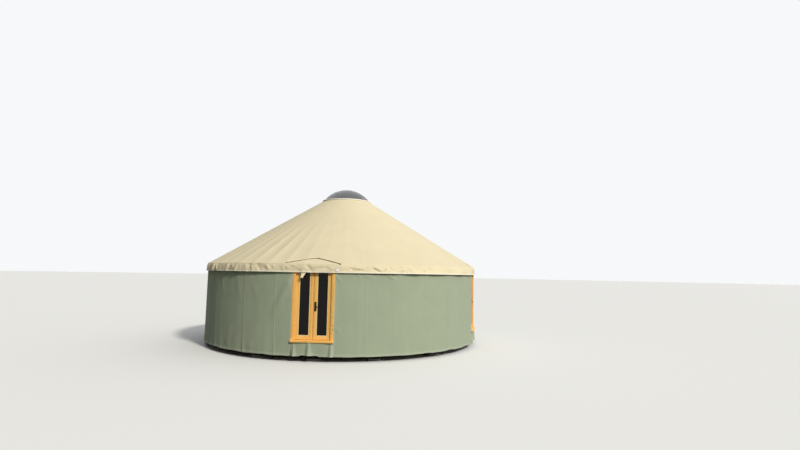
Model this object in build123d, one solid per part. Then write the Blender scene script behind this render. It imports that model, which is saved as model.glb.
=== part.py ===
"""A round canvas yurt, 9.1 m across, on a low timber deck, with two pairs of glazed pine doors.

Millimetres, +Z up, origin on the ground under the crown. The front door faces -Y. An azimuth is in degrees
about Z, 0 at the front door and growing towards +X, so a point there is (r sin az, -r cos az).
Canvas, lattice and deck run straight from rafter to rafter, so their plan is a polygon with a corner at each
rafter, and its radii are taken to the corners.
"""

from build123d import *
from math import acos, asin, atan2, ceil, cos, degrees, floor, hypot, radians, sin, sqrt, tan
import os

# Canvas envelope: the wall's outer face, its hem, and the roof's crease and upper edge
wall_radius = 4570
hem_height = 150
crease_overhang = 7
crease_height = 2583
crown_edge_radius = 841
roof_rise = 2295
valance_overhang = 36
valance_drop = 240
canvas_thickness = 8
gores = 6
seat = 0.3

# Deck and what carries it
deck_top = 490
deck_thickness = 28
rim_thickness = 18
rim_boards = 9
rim_joint = 1
joist_width = 45
joist_depth = 140
joist_spacing = 600
bearer_width = 90
bearer_depth = 140
bearer_spacing = 1600
bearers_each_side = 2
bearer_setback = 200
post_side = 100
post_inset = 130
post_spacing = 2200
pad_side = 320
pad_height = 60

# Roof timber and crown
rafters = 54
rafter_width = 45
rafter_depth = 90
rafter_tail_setback = 20
cable_radius = 4
cable_sides = 6
cable_setback = 30
crown_width = 90
crown_skirt = 15
curb_width = 70
curb_height = 32
dome_flange = 6
dome_overhang = 4
dome_rise = 425
dome_thickness = 6
dome_steps = 5

# Wall lattice: each lath climbs the wall while it passes a few rafters
lath_width = 38
lath_thickness = 12
lath_rise_bays = 3
slab_margin = 1.2
lattice_sections = 3

# Doorways
door_azimuths = {"front": 0, "side": 82}
frame_width = 1150
frame_setback = 35
frame_recess = 38
jamb_width = 90
head_width = 50
stop_width = 12
stop_gap = 5
sill_height = 80
sill_nose = 56
sill_nose_depth = 60
sill_inner = 24
sill_chamfer = 12
leaf_thickness = 44
leaf_side_gap = 5
leaf_sill_gap = 8
meeting_gap = 8
stile_width = 108
bottom_rail = 115
top_rail = 80
pane_thickness = 20
pane_grip = 12
pane_fit = 0.3

# Hinges and lever handles
hinge_heights = (0.12, 0.88)
hinge_length = 102
hinge_plate = 2
hinge_plate_depth = 32
knuckle_radius = 6.5
knuckle_sides = 8
knuckle_gap = 1
pin_radius = 3.5
pin_fit = 0.5
handle_height = 960
backplate_width = 44
backplate_height = 250
backplate_thickness = 8
backplate_cut = 9
backplate_above = 0.52
spindle_radius = 8
spindle_fit = 0.5
lever_reach = 45
lever_length = 115
lever_depth = 20
lever_thickness = 14
lever_cut = 4

# Rain strip over each doorway, an upside-down V on the roof
strip_half_angle = 9.5
strip_setback = 27
strip_reach = 235
strip_width = 40
strip_height = 14

# What follows from them
crease_radius = wall_radius + crease_overhang
crown_edge_height = crease_height + roof_rise
valance_radius = wall_radius + valance_overhang
rafter_tail_radius = wall_radius - rafter_tail_setback
cable_ring_radius = wall_radius - cable_setback
frame_face = wall_radius - frame_setback
strip_end_radius = crease_radius - strip_setback
strip_apex_radius = strip_end_radius - strip_reach
rafter_bay = 360 / rafters
to_flats = cos(radians(rafter_bay / 2))
roof_slope = atan2(crown_edge_height - crease_height, crease_radius - crown_edge_radius)
canvas_inner = wall_radius - canvas_thickness
deck_radius = canvas_inner - seat
deck_bottom = deck_top - deck_thickness
joist_bottom = deck_bottom - joist_depth
bearer_bottom = joist_bottom - bearer_depth
canvas_underside = (canvas_thickness + seat) / cos(roof_slope)
ridge_relief = rafter_width / 2 * tan(radians(rafter_bay / 2)) * tan(roof_slope)


def roof_height(radius):
    """Height of the roof canvas's outer face at a radius."""
    return crease_height + (crease_radius - radius) * tan(roof_slope)


def rafter_top(radius):
    """Height of a rafter's flat top, just clear of the two flats of canvas that meet over it."""
    return roof_height(radius) - canvas_underside - ridge_relief


def rafter_under(radius):
    return rafter_top(radius) - rafter_depth / cos(roof_slope)


cable_height = rafter_under(cable_ring_radius) - cable_radius / cos(roof_slope)
wall_top = cable_height - cable_radius
lath_outer_face = canvas_inner - seat
lath_middle = lath_outer_face - lath_thickness
lath_inner_face = lath_middle - lath_thickness
crown_top = rafter_top(crown_edge_radius)
crown_bottom = rafter_under(crown_edge_radius) - crown_skirt
curb_top = crown_top + curb_height
curb_outer = crown_edge_radius - canvas_thickness

sill_top = deck_top + sill_height
frame_half = frame_width / 2
frame_inner = frame_face - frame_recess - leaf_thickness
leaf_face = frame_face - frame_recess
leaf_middle = -(leaf_face - leaf_thickness / 2)
rebate_half = frame_half - jamb_width + stop_width
opening_top = wall_top - head_width
leaf_outer_edge = rebate_half - leaf_side_gap
leaf_meeting_edge = meeting_gap / 2
leaf_bottom = sill_top + leaf_sill_gap
leaf_top = opening_top + stop_width - leaf_side_gap
hinge_stile = stile_width + stop_width - leaf_side_gap
pane_low = leaf_bottom + bottom_rail
pane_high = leaf_top - top_rail
pin_x = (rebate_half + leaf_outer_edge) / 2
pin_y = -(frame_inner - knuckle_radius - seat)
lever_height = deck_top + handle_height
lever_x = leaf_meeting_edge + stile_width / 2
doorway_half_angle = degrees(asin((frame_half + seat) / (canvas_inner * to_flats)))
lattice_half_angle = degrees(asin((frame_half + seat) / (lath_inner_face * to_flats)))


def wedge(start, span):
    """All the space between two azimuths less than half a turn apart."""
    reach = 2 * wall_radius
    turns = [radians(start + span * share) for share in (0, 0.5, 1)]
    corners = [(reach * sin(turn), -reach * cos(turn)) for turn in turns]
    return extrude(make_face(Polyline((0, 0), *corners, close=True)), 2 * crown_edge_height)


def flat_ring(inner, outer, low, high):
    """A ring of rectangular section, straight from rafter to rafter."""
    plan = RegularPolygon(outer, rafters) - RegularPolygon(inner, rafters)
    return Pos(0, 0, low) * extrude(plan, high - low)


def by_bays(outline, first, count):
    """A face of (radius, height) corners, run straight through count bays and fused at the rafters."""
    section = Polyline(*[(0, -r * to_flats, z) for r, z in outline], close=True)
    reach = max(r for r, z in outline) * tan(radians(rafter_bay / 2))
    bay = extrude(make_face(section), reach, both=True) & wedge(-rafter_bay / 2, rafter_bay)
    bays = [solid for i in range(count) for solid in (Rot(0, 0, (first + i) * rafter_bay) * bay).solids()]
    return bays[0].fuse(*bays[1:])


def block(x0, x1, y0, y1, z0, z1):
    """A box between two corners."""
    centre = Pos((x0 + x1) / 2, (y0 + y1) / 2, (z0 + z1) / 2)
    return centre * Box(abs(x1 - x0), abs(y1 - y0), abs(z1 - z0))


def half_chord(radius, offset):
    """Half the length of a circle's chord at a distance from its centre."""
    return sqrt(radius**2 - offset**2)


def save(name, pieces):
    """Writes one node, from one shape or a list of shapes that don't touch."""
    listed = pieces if isinstance(pieces, list) else [pieces]
    solids = [solid for piece in listed for solid in piece.solids()]
    shape = solids[0] if len(solids) == 1 else Compound(solids)
    export_step(shape, f"parts/{name}.step")


def wall_arcs():
    """Each node of round wall: name, first azimuth and span between the jambs' middles."""
    front, side = door_azimuths["front"], door_azimuths["side"]
    names = ("back_right", "back", "back_left", "front_left")
    long_span = (360 - side + front) / len(names)
    arcs = [("front_right", front, side - front)]
    arcs += [(name, side + i * long_span, long_span) for i, name in enumerate(names)]
    return arcs


def clear_of_doors(start, span, half_angle):
    """The same arc, cut back at each end that meets a doorway."""
    ends = [start, start + span]
    for i, inward in enumerate((1, -1)):
        if any(abs((ends[i] - az + 180) % 360 - 180) < seat for az in door_azimuths.values()):
            ends[i] += inward * half_angle
    return ends[0], ends[1] - ends[0]


# Deck


def bearer_lines():
    """Each bearer's x and its half length, to its ends inside the rim."""
    reach = deck_radius - bearer_setback
    for i in range(-bearers_each_side, bearers_each_side + 1):
        x = i * bearer_spacing
        yield x, half_chord(reach, abs(x) + bearer_width / 2)


def post_points():
    """Posts stand evenly along each bearer, near both its ends and always at its middle."""
    for x, half in bearer_lines():
        end = half - post_inset
        bays = 2 * max(1, round(end / post_spacing))
        for i in range(bays + 1):
            yield x, -end + 2 * end * i / bays


def make_deck():
    posts = list(post_points())
    pad, post = pad_side / 2, post_side / 2
    save("pier_pads", [block(x - pad, x + pad, y - pad, y + pad, 0, pad_height) for x, y in posts])
    save(
        "pier_posts",
        [
            block(x - post, x + post, y - post, y + post, pad_height, bearer_bottom)
            for x, y in posts
        ],
    )
    wide = bearer_width / 2
    save(
        "bearers",
        [
            block(x - wide, x + wide, -half, half, bearer_bottom, joist_bottom)
            for x, half in bearer_lines()
        ],
    )
    joist_reach = (deck_radius - rim_thickness) * to_flats - seat
    each_side = floor((joist_reach - joist_width) / joist_spacing)
    joists = []
    for i in range(-each_side, each_side + 1):
        y = i * joist_spacing
        half = half_chord(joist_reach, abs(y) + joist_width / 2)
        joists.append(
            block(-half, half, y - joist_width / 2, y + joist_width / 2, joist_bottom, deck_bottom)
        )
    save("joists", joists)
    deck = extrude(RegularPolygon(deck_radius, rafters), deck_thickness)
    save("floor_deck", Pos(0, 0, deck_bottom) * deck)
    board = 360 / rim_boards
    gap = degrees(rim_joint / deck_radius)
    rim = flat_ring(deck_radius - rim_thickness, deck_radius, joist_bottom, deck_bottom)
    save("deck_rim", [rim & wedge(i * board, board - gap) for i in range(rim_boards)])


# Wall


def lath(azimuth, climb):
    """A thick slab that cuts one lath from a layer. Climb is 1 for a lath that rises with azimuth, else -1."""
    rise = wall_top - deck_top
    run = lath_middle * radians(lath_rise_bays * rafter_bay)
    slope = degrees(atan2(rise, run))
    slab = Box(slab_margin * hypot(rise, run), run / 2, lath_width)
    stand = Pos(0, -lath_middle, (wall_top + deck_top) / 2)
    return Rot(0, 0, azimuth) * stand * Rot(0, -climb * slope, 0) * slab


def lattice_section(start, span):
    """Two layers of parallel laths, fused where they cross as if bolted, a top crossing under each rafter."""
    layers = ((lath_middle, lath_outer_face, 1), (lath_inner_face, lath_middle, -1))
    half_run = lath_rise_bays * rafter_bay / 2
    within = slab_margin * half_run
    laths = []
    for inner, outer, climb in layers:
        layer = flat_ring(inner, outer, deck_top, wall_top) & wedge(start, span)
        first = floor((start - within) / rafter_bay) - lath_rise_bays
        last = ceil((start + span + within) / rafter_bay) + lath_rise_bays
        for i in range(first, last + 1):
            azimuth = (i + 0.5) * rafter_bay - climb * half_run
            if start - within < azimuth < start + span + within:
                laths += (layer & lath(azimuth, climb)).solids()
    return laths[0].fuse(*laths[1:])


def make_wall():
    joint = degrees(seat / wall_radius)
    lath_joint = degrees(rim_joint / lath_inner_face)
    canvas = flat_ring(canvas_inner, wall_radius, hem_height, wall_top)
    for name, start, span in wall_arcs():
        first, width = clear_of_doors(start, span, doorway_half_angle)
        save(f"wall_canvas_{name}", canvas & wedge(first, width - joint))
        first, width = clear_of_doors(start, span, lattice_half_angle)
        width /= lattice_sections
        starts = [first + i * width for i in range(lattice_sections)]
        save(f"lattice_{name}", [lattice_section(az, width - lath_joint) for az in starts])
    skirt = flat_ring(canvas_inner, wall_radius, hem_height, deck_top - seat)
    for name, azimuth in door_azimuths.items():
        width = 2 * doorway_half_angle - joint
        save(f"{name}_skirt", skirt & wedge(azimuth - doorway_half_angle, width))
    strand = [
        (cable_ring_radius + cable_radius * sin(turn), cable_height + cable_radius * cos(turn))
        for turn in (radians(360 * i / cable_sides) for i in range(cable_sides))
    ]
    save("tension_cable", by_bays(strand, 0, rafters))


# Doors


def door_frame():
    """Two jambs and a head in one, with the stop in front of the leaves. Stands on the sill."""
    whole = block(-frame_half, frame_half, -frame_face, -frame_inner, sill_top, wall_top)
    clear_half = frame_half - jamb_width
    clear = block(-clear_half, clear_half, -frame_face, -frame_inner, sill_top, opening_top)
    rebate = block(
        -rebate_half,
        rebate_half,
        -(leaf_face + stop_gap),
        -frame_inner,
        sill_top,
        opening_top + stop_width,
    )
    return whole - clear - rebate


def door_sill():
    """The step under the leaves. Its nose overhangs the skirt's upper edge, with its own upper edge eased."""
    board = block(
        -frame_half,
        frame_half,
        -(frame_face + sill_nose),
        -(frame_inner - sill_inner),
        deck_top,
        sill_top,
    )
    board -= block(
        -frame_half,
        frame_half,
        -(frame_face + sill_nose),
        -frame_face,
        deck_top,
        sill_top - sill_nose_depth,
    )
    nose = board.edges().filter_by(Axis.X).group_by(Axis.Z)[-1].sort_by(Axis.Y)[0]
    return chamfer(nose, sill_chamfer)


def pane(grow=0):
    """The glass of the right leaf, let into its stiles and rails all round."""
    thick = pane_thickness / 2 + grow
    reach = pane_grip + grow
    return block(
        leaf_meeting_edge + stile_width - reach,
        leaf_outer_edge - hinge_stile + reach,
        leaf_middle - thick,
        leaf_middle + thick,
        pane_low - reach,
        pane_high + reach,
    )


def right_leaf():
    """A stile-and-rail leaf, open for its glass."""
    whole = block(
        leaf_meeting_edge,
        leaf_outer_edge,
        -leaf_face,
        -(leaf_face - leaf_thickness),
        leaf_bottom,
        leaf_top,
    )
    light = block(
        leaf_meeting_edge + stile_width,
        leaf_outer_edge - hinge_stile,
        -leaf_face,
        -(leaf_face - leaf_thickness),
        pane_low,
        pane_high,
    )
    return whole - light - pane(pane_fit)


def hinge_levels():
    leaf_height = leaf_top - leaf_bottom
    return [leaf_bottom + share * leaf_height for share in hinge_heights]


def knuckle(radius, low, high):
    return Pos(pin_x, pin_y, low) * extrude(RegularPolygon(radius, knuckle_sides), high - low)


def jamb_hinge(level):
    """The half on the jamb: plate, lower knuckle, and the pin that stands up from it."""
    low, high = level - hinge_length / 2, level + hinge_length / 2
    plate_back = rebate_half - hinge_plate
    shape = block(
        plate_back, rebate_half, -frame_inner - hinge_plate_depth, -frame_inner, low, high
    )
    shape += block(plate_back, rebate_half, -frame_inner, pin_y, low, level)
    return shape + knuckle(knuckle_radius, low, level) + knuckle(pin_radius, level, high)


def leaf_hinge(level):
    """The half on the leaf: plate and the upper knuckle, bored for the pin."""
    low, high = level - hinge_length / 2, level + hinge_length / 2
    plate_front = leaf_outer_edge + hinge_plate
    shape = block(
        leaf_outer_edge, plate_front, -frame_inner - hinge_plate_depth, -frame_inner, low, high
    )
    shape += block(leaf_outer_edge, plate_front, -frame_inner, pin_y, level + knuckle_gap, high)
    shape += knuckle(knuckle_radius, level + knuckle_gap, high)
    return shape - knuckle(pin_radius + pin_fit, level + knuckle_gap, high)


def spindle(radius, length):
    """A bar through the middle of the leaf's thickness at the lever's height."""
    bar = extrude(RegularPolygon(radius, knuckle_sides), length / 2, both=True)
    return Pos(lever_x, leaf_middle, lever_height) * Rot(90, 0, 0) * bar


def handle():
    """A lever and long backplate on each face of the right leaf, on one spindle through its meeting stile."""
    reach = leaf_thickness + 2 * (backplate_thickness + lever_reach)
    shape = spindle(spindle_radius, reach)
    rise = (backplate_above - 0.5) * backplate_height
    grip_end = (Align.MIN, Align.CENTER, Align.CENTER)
    for side in (-1, 1):
        plate = Box(backplate_width, backplate_thickness, backplate_height)
        plate = chamfer(plate.edges().filter_by(Axis.Y), backplate_cut)
        face = leaf_middle + side * (leaf_thickness + backplate_thickness) / 2
        shape += Pos(lever_x, face, lever_height - rise) * plate
        grip = Box(lever_length, lever_thickness, lever_depth, align=grip_end)
        grip = chamfer(grip.edges().filter_by(Axis.X), lever_cut)
        end = leaf_middle + side * (reach - lever_thickness) / 2
        shape += Pos(lever_x - spindle_radius, end, lever_height) * grip
    return shape


def make_doors():
    for name, azimuth in door_azimuths.items():
        face = Rot(0, 0, azimuth)
        save(f"{name}_door_frame", face * door_frame())
        save(f"{name}_door_sill", face * door_sill())
        hinges = [jamb_hinge(level) for level in hinge_levels()]
        hinges += [mirror(hinge, Plane.YZ) for hinge in hinges]
        save(f"{name}_jamb_hinges", [face * hinge for hinge in hinges])
        leaf = right_leaf()
        plates = [leaf_hinge(level) for level in hinge_levels()]
        save(f"{name}_right_leaf", face * (leaf - spindle(spindle_radius + spindle_fit, leaf_thickness)))
        save(f"{name}_left_leaf", face * mirror(leaf, Plane.YZ))
        save(f"{name}_right_pane", face * pane())
        save(f"{name}_left_pane", face * mirror(pane(), Plane.YZ))
        save(f"{name}_right_hinges", [face * plate for plate in plates])
        save(f"{name}_left_hinges", [face * mirror(plate, Plane.YZ) for plate in plates])
        save(f"{name}_handle", face * handle())


# Roof


def rafter():
    """One rafter in front of the axis, plumb cut at the crown and at its tail."""
    ends = (crown_edge_radius, rafter_tail_radius)
    outline = [(r, rafter_top(r)) for r in ends] + [(r, rafter_under(r)) for r in reversed(ends)]
    side = make_face(Polyline(*[(0, -r, z) for r, z in outline], close=True))
    return extrude(side, rafter_width / 2, both=True)


def canvas_outline():
    """Section of the cone and valance in one sheet, from the crown's edge down and back up its inside."""
    outer = [
        (crown_edge_radius, crown_edge_height),
        (crease_radius, crease_height),
        (valance_radius, crease_height - valance_drop),
    ]
    valance_lean = atan2(valance_radius - crease_radius, valance_drop)
    half_turn = (radians(90) - roof_slope - valance_lean) / 2
    crease_in = canvas_thickness / cos(half_turn)
    inner = [
        (valance_radius - canvas_thickness / cos(valance_lean), crease_height - valance_drop),
        (
            crease_radius - crease_in * sin(roof_slope + half_turn),
            crease_height - crease_in * cos(roof_slope + half_turn),
        ),
        (crown_edge_radius, crown_edge_height - canvas_thickness / cos(roof_slope)),
    ]
    return outer + inner


def rain_strip(azimuth):
    """A low V of padded canvas over a doorway, its point up the slope, lying on the roof's own flats."""
    end_x = strip_end_radius * sin(radians(strip_half_angle))
    end_y = -strip_end_radius * cos(radians(strip_half_angle))
    shoulder = strip_width / 2
    plan = Polyline(
        (-end_x, end_y - shoulder),
        (0, -strip_apex_radius - shoulder),
        (end_x, end_y - shoulder),
        (end_x, end_y + shoulder),
        (0, -strip_apex_radius + shoulder),
        (-end_x, end_y + shoulder),
        close=True,
    )
    low = roof_height(strip_end_radius + strip_width) - strip_height
    high = roof_height(strip_apex_radius - strip_width) + 2 * strip_height
    post = Rot(0, 0, azimuth) * Pos(0, 0, low) * extrude(make_face(plan), high - low)
    radii = (strip_apex_radius - strip_width, strip_end_radius + strip_width)
    lift = [(seat, r) for r in radii] + [(seat + strip_height, r) for r in reversed(radii)]
    outline = [(r, roof_height(r) + rise / cos(roof_slope)) for rise, r in lift]
    bays = 1 + ceil(strip_half_angle / rafter_bay)
    return by_bays(outline, round(azimuth / rafter_bay) - bays, 2 * bays + 1) & post


def dome():
    """A blown cap of clear sheet over a flat flange, in flats from step to step and rafter to rafter."""
    base = curb_top + dome_flange
    ball = (curb_outer**2 + dome_rise**2) / (2 * dome_rise)
    outer_arc, inner_arc = [], []
    for arc, radius in ((outer_arc, ball), (inner_arc, ball - dome_thickness)):
        widest = acos((ball - dome_rise) / radius)
        for i in range(dome_steps + 1):
            turn = widest * i / dome_steps
            arc.append((radius * sin(turn), base + dome_rise - ball + radius * cos(turn)))
    flange = [
        (curb_outer + dome_overhang, base),
        (curb_outer + dome_overhang, curb_top),
        (curb_outer - curb_width / 2, curb_top),
        (curb_outer - curb_width / 2, base),
    ]
    return by_bays(outer_arc + flange + inner_arc[::-1], 0, rafters)


def make_roof():
    one = rafter()
    bays = [(i + 0.5) * rafter_bay for i in range(rafters)]
    front = [az for az in bays if cos(radians(az)) > 0]
    back = [az for az in bays if cos(radians(az)) <= 0]
    save("rafters_front", [Rot(0, 0, az) * one for az in front])
    save("rafters_back", [Rot(0, 0, az) * one for az in back])
    crown_inner = crown_edge_radius - crown_width
    save("crown_ring", flat_ring(crown_inner, crown_edge_radius, crown_bottom, crown_top))
    save("dome_curb", flat_ring(curb_outer - curb_width, curb_outer, crown_top, curb_top))
    save("dome", dome())
    gore_bays = rafters // gores
    gap = degrees(seat / crease_radius)
    for i in range(gores):
        first = i * gore_bays - (gore_bays - 1) // 2
        gore = by_bays(canvas_outline(), first, gore_bays)
        save(f"roof_canvas_{i + 1}", gore & wedge((first - 0.5) * rafter_bay, 360 / gores - gap))
    save("rain_strips", [rain_strip(azimuth) for azimuth in door_azimuths.values()])


os.makedirs("parts", exist_ok=True)
make_deck()
make_wall()
make_doors()
make_roof()
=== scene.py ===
"""Looks of a round canvas yurt on a low deck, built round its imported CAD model.

Metres, +Z up, origin on the ground under the crown, front door facing -Y. An azimuth runs from the front door
towards +X, so a point at radius r is (r sin azimuth, -r cos azimuth, height).
"""

from math import acos, asin, atan2, ceil, cos, hypot, pi, radians, sin, sqrt, tan

import bpy
import numpy as np
from bpy.props import FloatProperty, FloatVectorProperty, IntProperty, PointerProperty
from bpy.types import Operator, Panel, PropertyGroup
from mathutils import Matrix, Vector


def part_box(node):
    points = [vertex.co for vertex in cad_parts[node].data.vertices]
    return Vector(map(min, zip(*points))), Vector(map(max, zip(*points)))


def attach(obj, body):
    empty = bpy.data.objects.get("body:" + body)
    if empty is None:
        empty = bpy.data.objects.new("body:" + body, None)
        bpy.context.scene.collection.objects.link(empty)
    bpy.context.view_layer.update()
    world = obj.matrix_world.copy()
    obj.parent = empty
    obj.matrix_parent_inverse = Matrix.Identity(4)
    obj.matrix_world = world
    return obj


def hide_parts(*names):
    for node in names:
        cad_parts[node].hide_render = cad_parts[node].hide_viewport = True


bl_info = {
    "name": "Canvas Yurt",
    "version": (1, 0, 0),
    "blender": (4, 5, 0),
    "location": "View3D > Sidebar > Yurt",
    "description": "Dresses the frame of a round canvas yurt with cloth, timber, glass and fittings",
    "category": "Object",
}

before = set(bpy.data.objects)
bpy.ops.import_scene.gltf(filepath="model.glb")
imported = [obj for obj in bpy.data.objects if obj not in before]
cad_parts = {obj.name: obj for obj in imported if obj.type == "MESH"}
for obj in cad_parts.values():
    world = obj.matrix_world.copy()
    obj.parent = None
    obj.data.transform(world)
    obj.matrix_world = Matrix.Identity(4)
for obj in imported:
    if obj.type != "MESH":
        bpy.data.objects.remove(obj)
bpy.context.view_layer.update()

DOORS = {"front": 0.0, "side": radians(82)}
WALL_ARCS = ("front_right", "back_right", "back", "back_left", "front_left")
GORES = 6
SHEET_UV = "sheet"
GRAIN_UV = "grain"


def linear(colour):
    """The linear red, green and blue of an sRGB hex colour."""
    shares = [int(colour[i : i + 2], 16) / 255 for i in (1, 3, 5)]
    return [c / 12.92 if c <= 0.04045 else ((c + 0.055) / 1.055) ** 2.4 for c in shares]


def length_property(name, description, default):
    return FloatProperty(
        name=name, description=description, default=default, min=0, unit="LENGTH", precision=4
    )


def colour_property(name, description, default):
    return FloatVectorProperty(
        name=name, description=description, default=linear(default), subtype="COLOR", size=3, min=0, max=1
    )


class YurtSizes(PropertyGroup):
    """Sizes of the cloth and fittings that the frame doesn't give by itself."""

    crease_radius: length_property("Eave radius", "Radius of the fold between roof and valance", 4.577)
    crease_height: length_property("Eave height", "Height of the fold between roof and valance", 2.583)
    valance_radius: length_property("Valance radius", "Radius of the valance's hem", 4.606)
    cloth_thickness: length_property("Cloth thickness", "Thickness that the canvas is drawn with", 0.003)
    rafter_sag: length_property("Rafter sag", "How far the roof dips between two rafters at the eave", 0.015)
    fold_depth: length_property("Valance fold depth", "Height of the valance's strongest folds", 0.026)
    wall_sway: length_property("Wall sway", "Depth of the wall cloth's long soft waves", 0.006)
    seam_width: length_property("Seam width", "Width of a felled seam in the canvas", 0.026)
    hem_width: length_property("Hem width", "Depth of a sewn hem", 0.042)
    strip_reach: length_property("Rain strip reach", "How far the V's point lies up from its ends", 0.235)
    board_ease: length_property("Board ease", "Radius on the edges of planed boards", 0.003)
    rafters: IntProperty(name="Rafters", description="Number of rafters round the roof", default=54, min=12)
    seam_spacing: FloatProperty(
        name="Wall seam spacing",
        description="Angle between the wall's seams",
        default=radians(13.1),
        subtype="ANGLE",
    )


class YurtColours(PropertyGroup):
    """Colours of the finishes, as they look under plain white light."""

    roof: colour_property("Roof canvas", "Cream coated canvas", "#EDE0BB")
    wall: colour_property("Wall canvas", "Sage green canvas", "#AAB49A")
    pine: colour_property("Door pine", "Earlywood of the oiled door pine", "#FFCC70")
    pine_dark: colour_property("Door pine lines", "Latewood of the oiled door pine", "#E8A44E")
    deal: colour_property("Frame timber", "Planed softwood of rafters and laths", "#CDA574")
    deal_dark: colour_property("Frame timber lines", "Latewood of the planed softwood", "#A9794A")
    handle: colour_property("Handle", "Satin black coat of the door furniture", "#0D0D0F")
    # The dome's tint is partly painted shade: darker than the acrylic's own smoke, for the dark surroundings
    # seen through it.
    dome: colour_property("Dome", "Smoke tint of the acrylic dome", "#A3A5A7")


# Grid surfaces


def ease(x):
    """0 below 0, 1 above 1, and 3x^2 - 2x^3 between."""
    x = np.clip(x, 0, 1)
    return x * x * (3 - 2 * x)


def window(x, low, high, soft):
    """1 between low and high, falling smoothly to 0 over soft outside them."""
    return ease((x - low) / soft + 1) * ease((high - x) / soft + 1)


def stacked(*coordinates):
    """Points or UVs from their coordinates, which broadcast."""
    return np.stack(np.broadcast_arrays(*coordinates), axis=-1)


def polar(azimuth, radius, height):
    """Points (radius sin azimuth, -radius cos azimuth, height), with arguments that broadcast."""
    return stacked(radius * np.sin(azimuth), -radius * np.cos(azimuth), height)


def signed(azimuth):
    """The same azimuth between -pi and pi."""
    return (azimuth + pi) % (2 * pi) - pi


def ripple(azimuth, height, seed, terms, cycles, lean):
    """A sum of sine waves, each with a whole number of cycles round the yurt, about 1 in size.

    Each wave is sin(n azimuth + l height + p), with n drawn from cycles, l from -lean to lean and p from a
    circle.
    """
    draw = np.random.default_rng(seed)
    total = np.zeros(np.broadcast(azimuth, height).shape)
    for _ in range(terms):
        count, tilt, phase = draw.integers(*cycles), draw.uniform(-lean, lean), draw.uniform(0, 2 * pi)
        total += np.sin(count * azimuth + tilt * height + phase)
    return total / sqrt(terms / 2)


def pillows(azimuth, height, seed, count, lean):
    """Rounded bulges with sharp valleys between them: |sin(phase / 2)|^0.8, from 0 to 1.

    The phase is count times azimuth, with slow sines that make the bulges wider here and narrower there, and
    a height times a slow ripple, which leans them.
    """
    uneven = 0.30 * count / 23 * ripple(azimuth, 0 * height, seed, 5, (11, 37), 0)
    tilt = lean * ripple(azimuth, 0 * height, seed + 1, 4, (9, 60), 0)
    return np.abs(np.sin((count * azimuth + uneven + tilt * height) / 2)) ** 0.8


def fold_line(across, height, start, end, width):
    """A ridge along a line from start to end, exp(-(distance / width)^2), that fades to both ends.

    Across and height are metres in the cloth, and so are the line's ends.
    """
    run, rise = end[0] - start[0], end[1] - start[1]
    length = hypot(run, rise)
    along = ((across - start[0]) * run + (height - start[1]) * rise) / length**2
    aside = ((across - start[0]) * rise - (height - start[1]) * run) / length
    return np.exp(-((aside / width) ** 2)) * ease(along * 5) * ease((1 - along) * 2)


def grid_faces(rows, columns, close_rows=False, close_columns=False):
    """Quads of a rows by columns grid of points, numbered along each row."""
    index = np.arange(rows * columns).reshape(rows, columns)
    if close_rows:
        index = np.vstack((index, index[:1]))
    if close_columns:
        index = np.hstack((index, index[:, :1]))
    corners = (index[:-1, :-1], index[:-1, 1:], index[1:, 1:], index[1:, :-1])
    return np.stack(corners, axis=-1).reshape(-1, 4)


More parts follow.
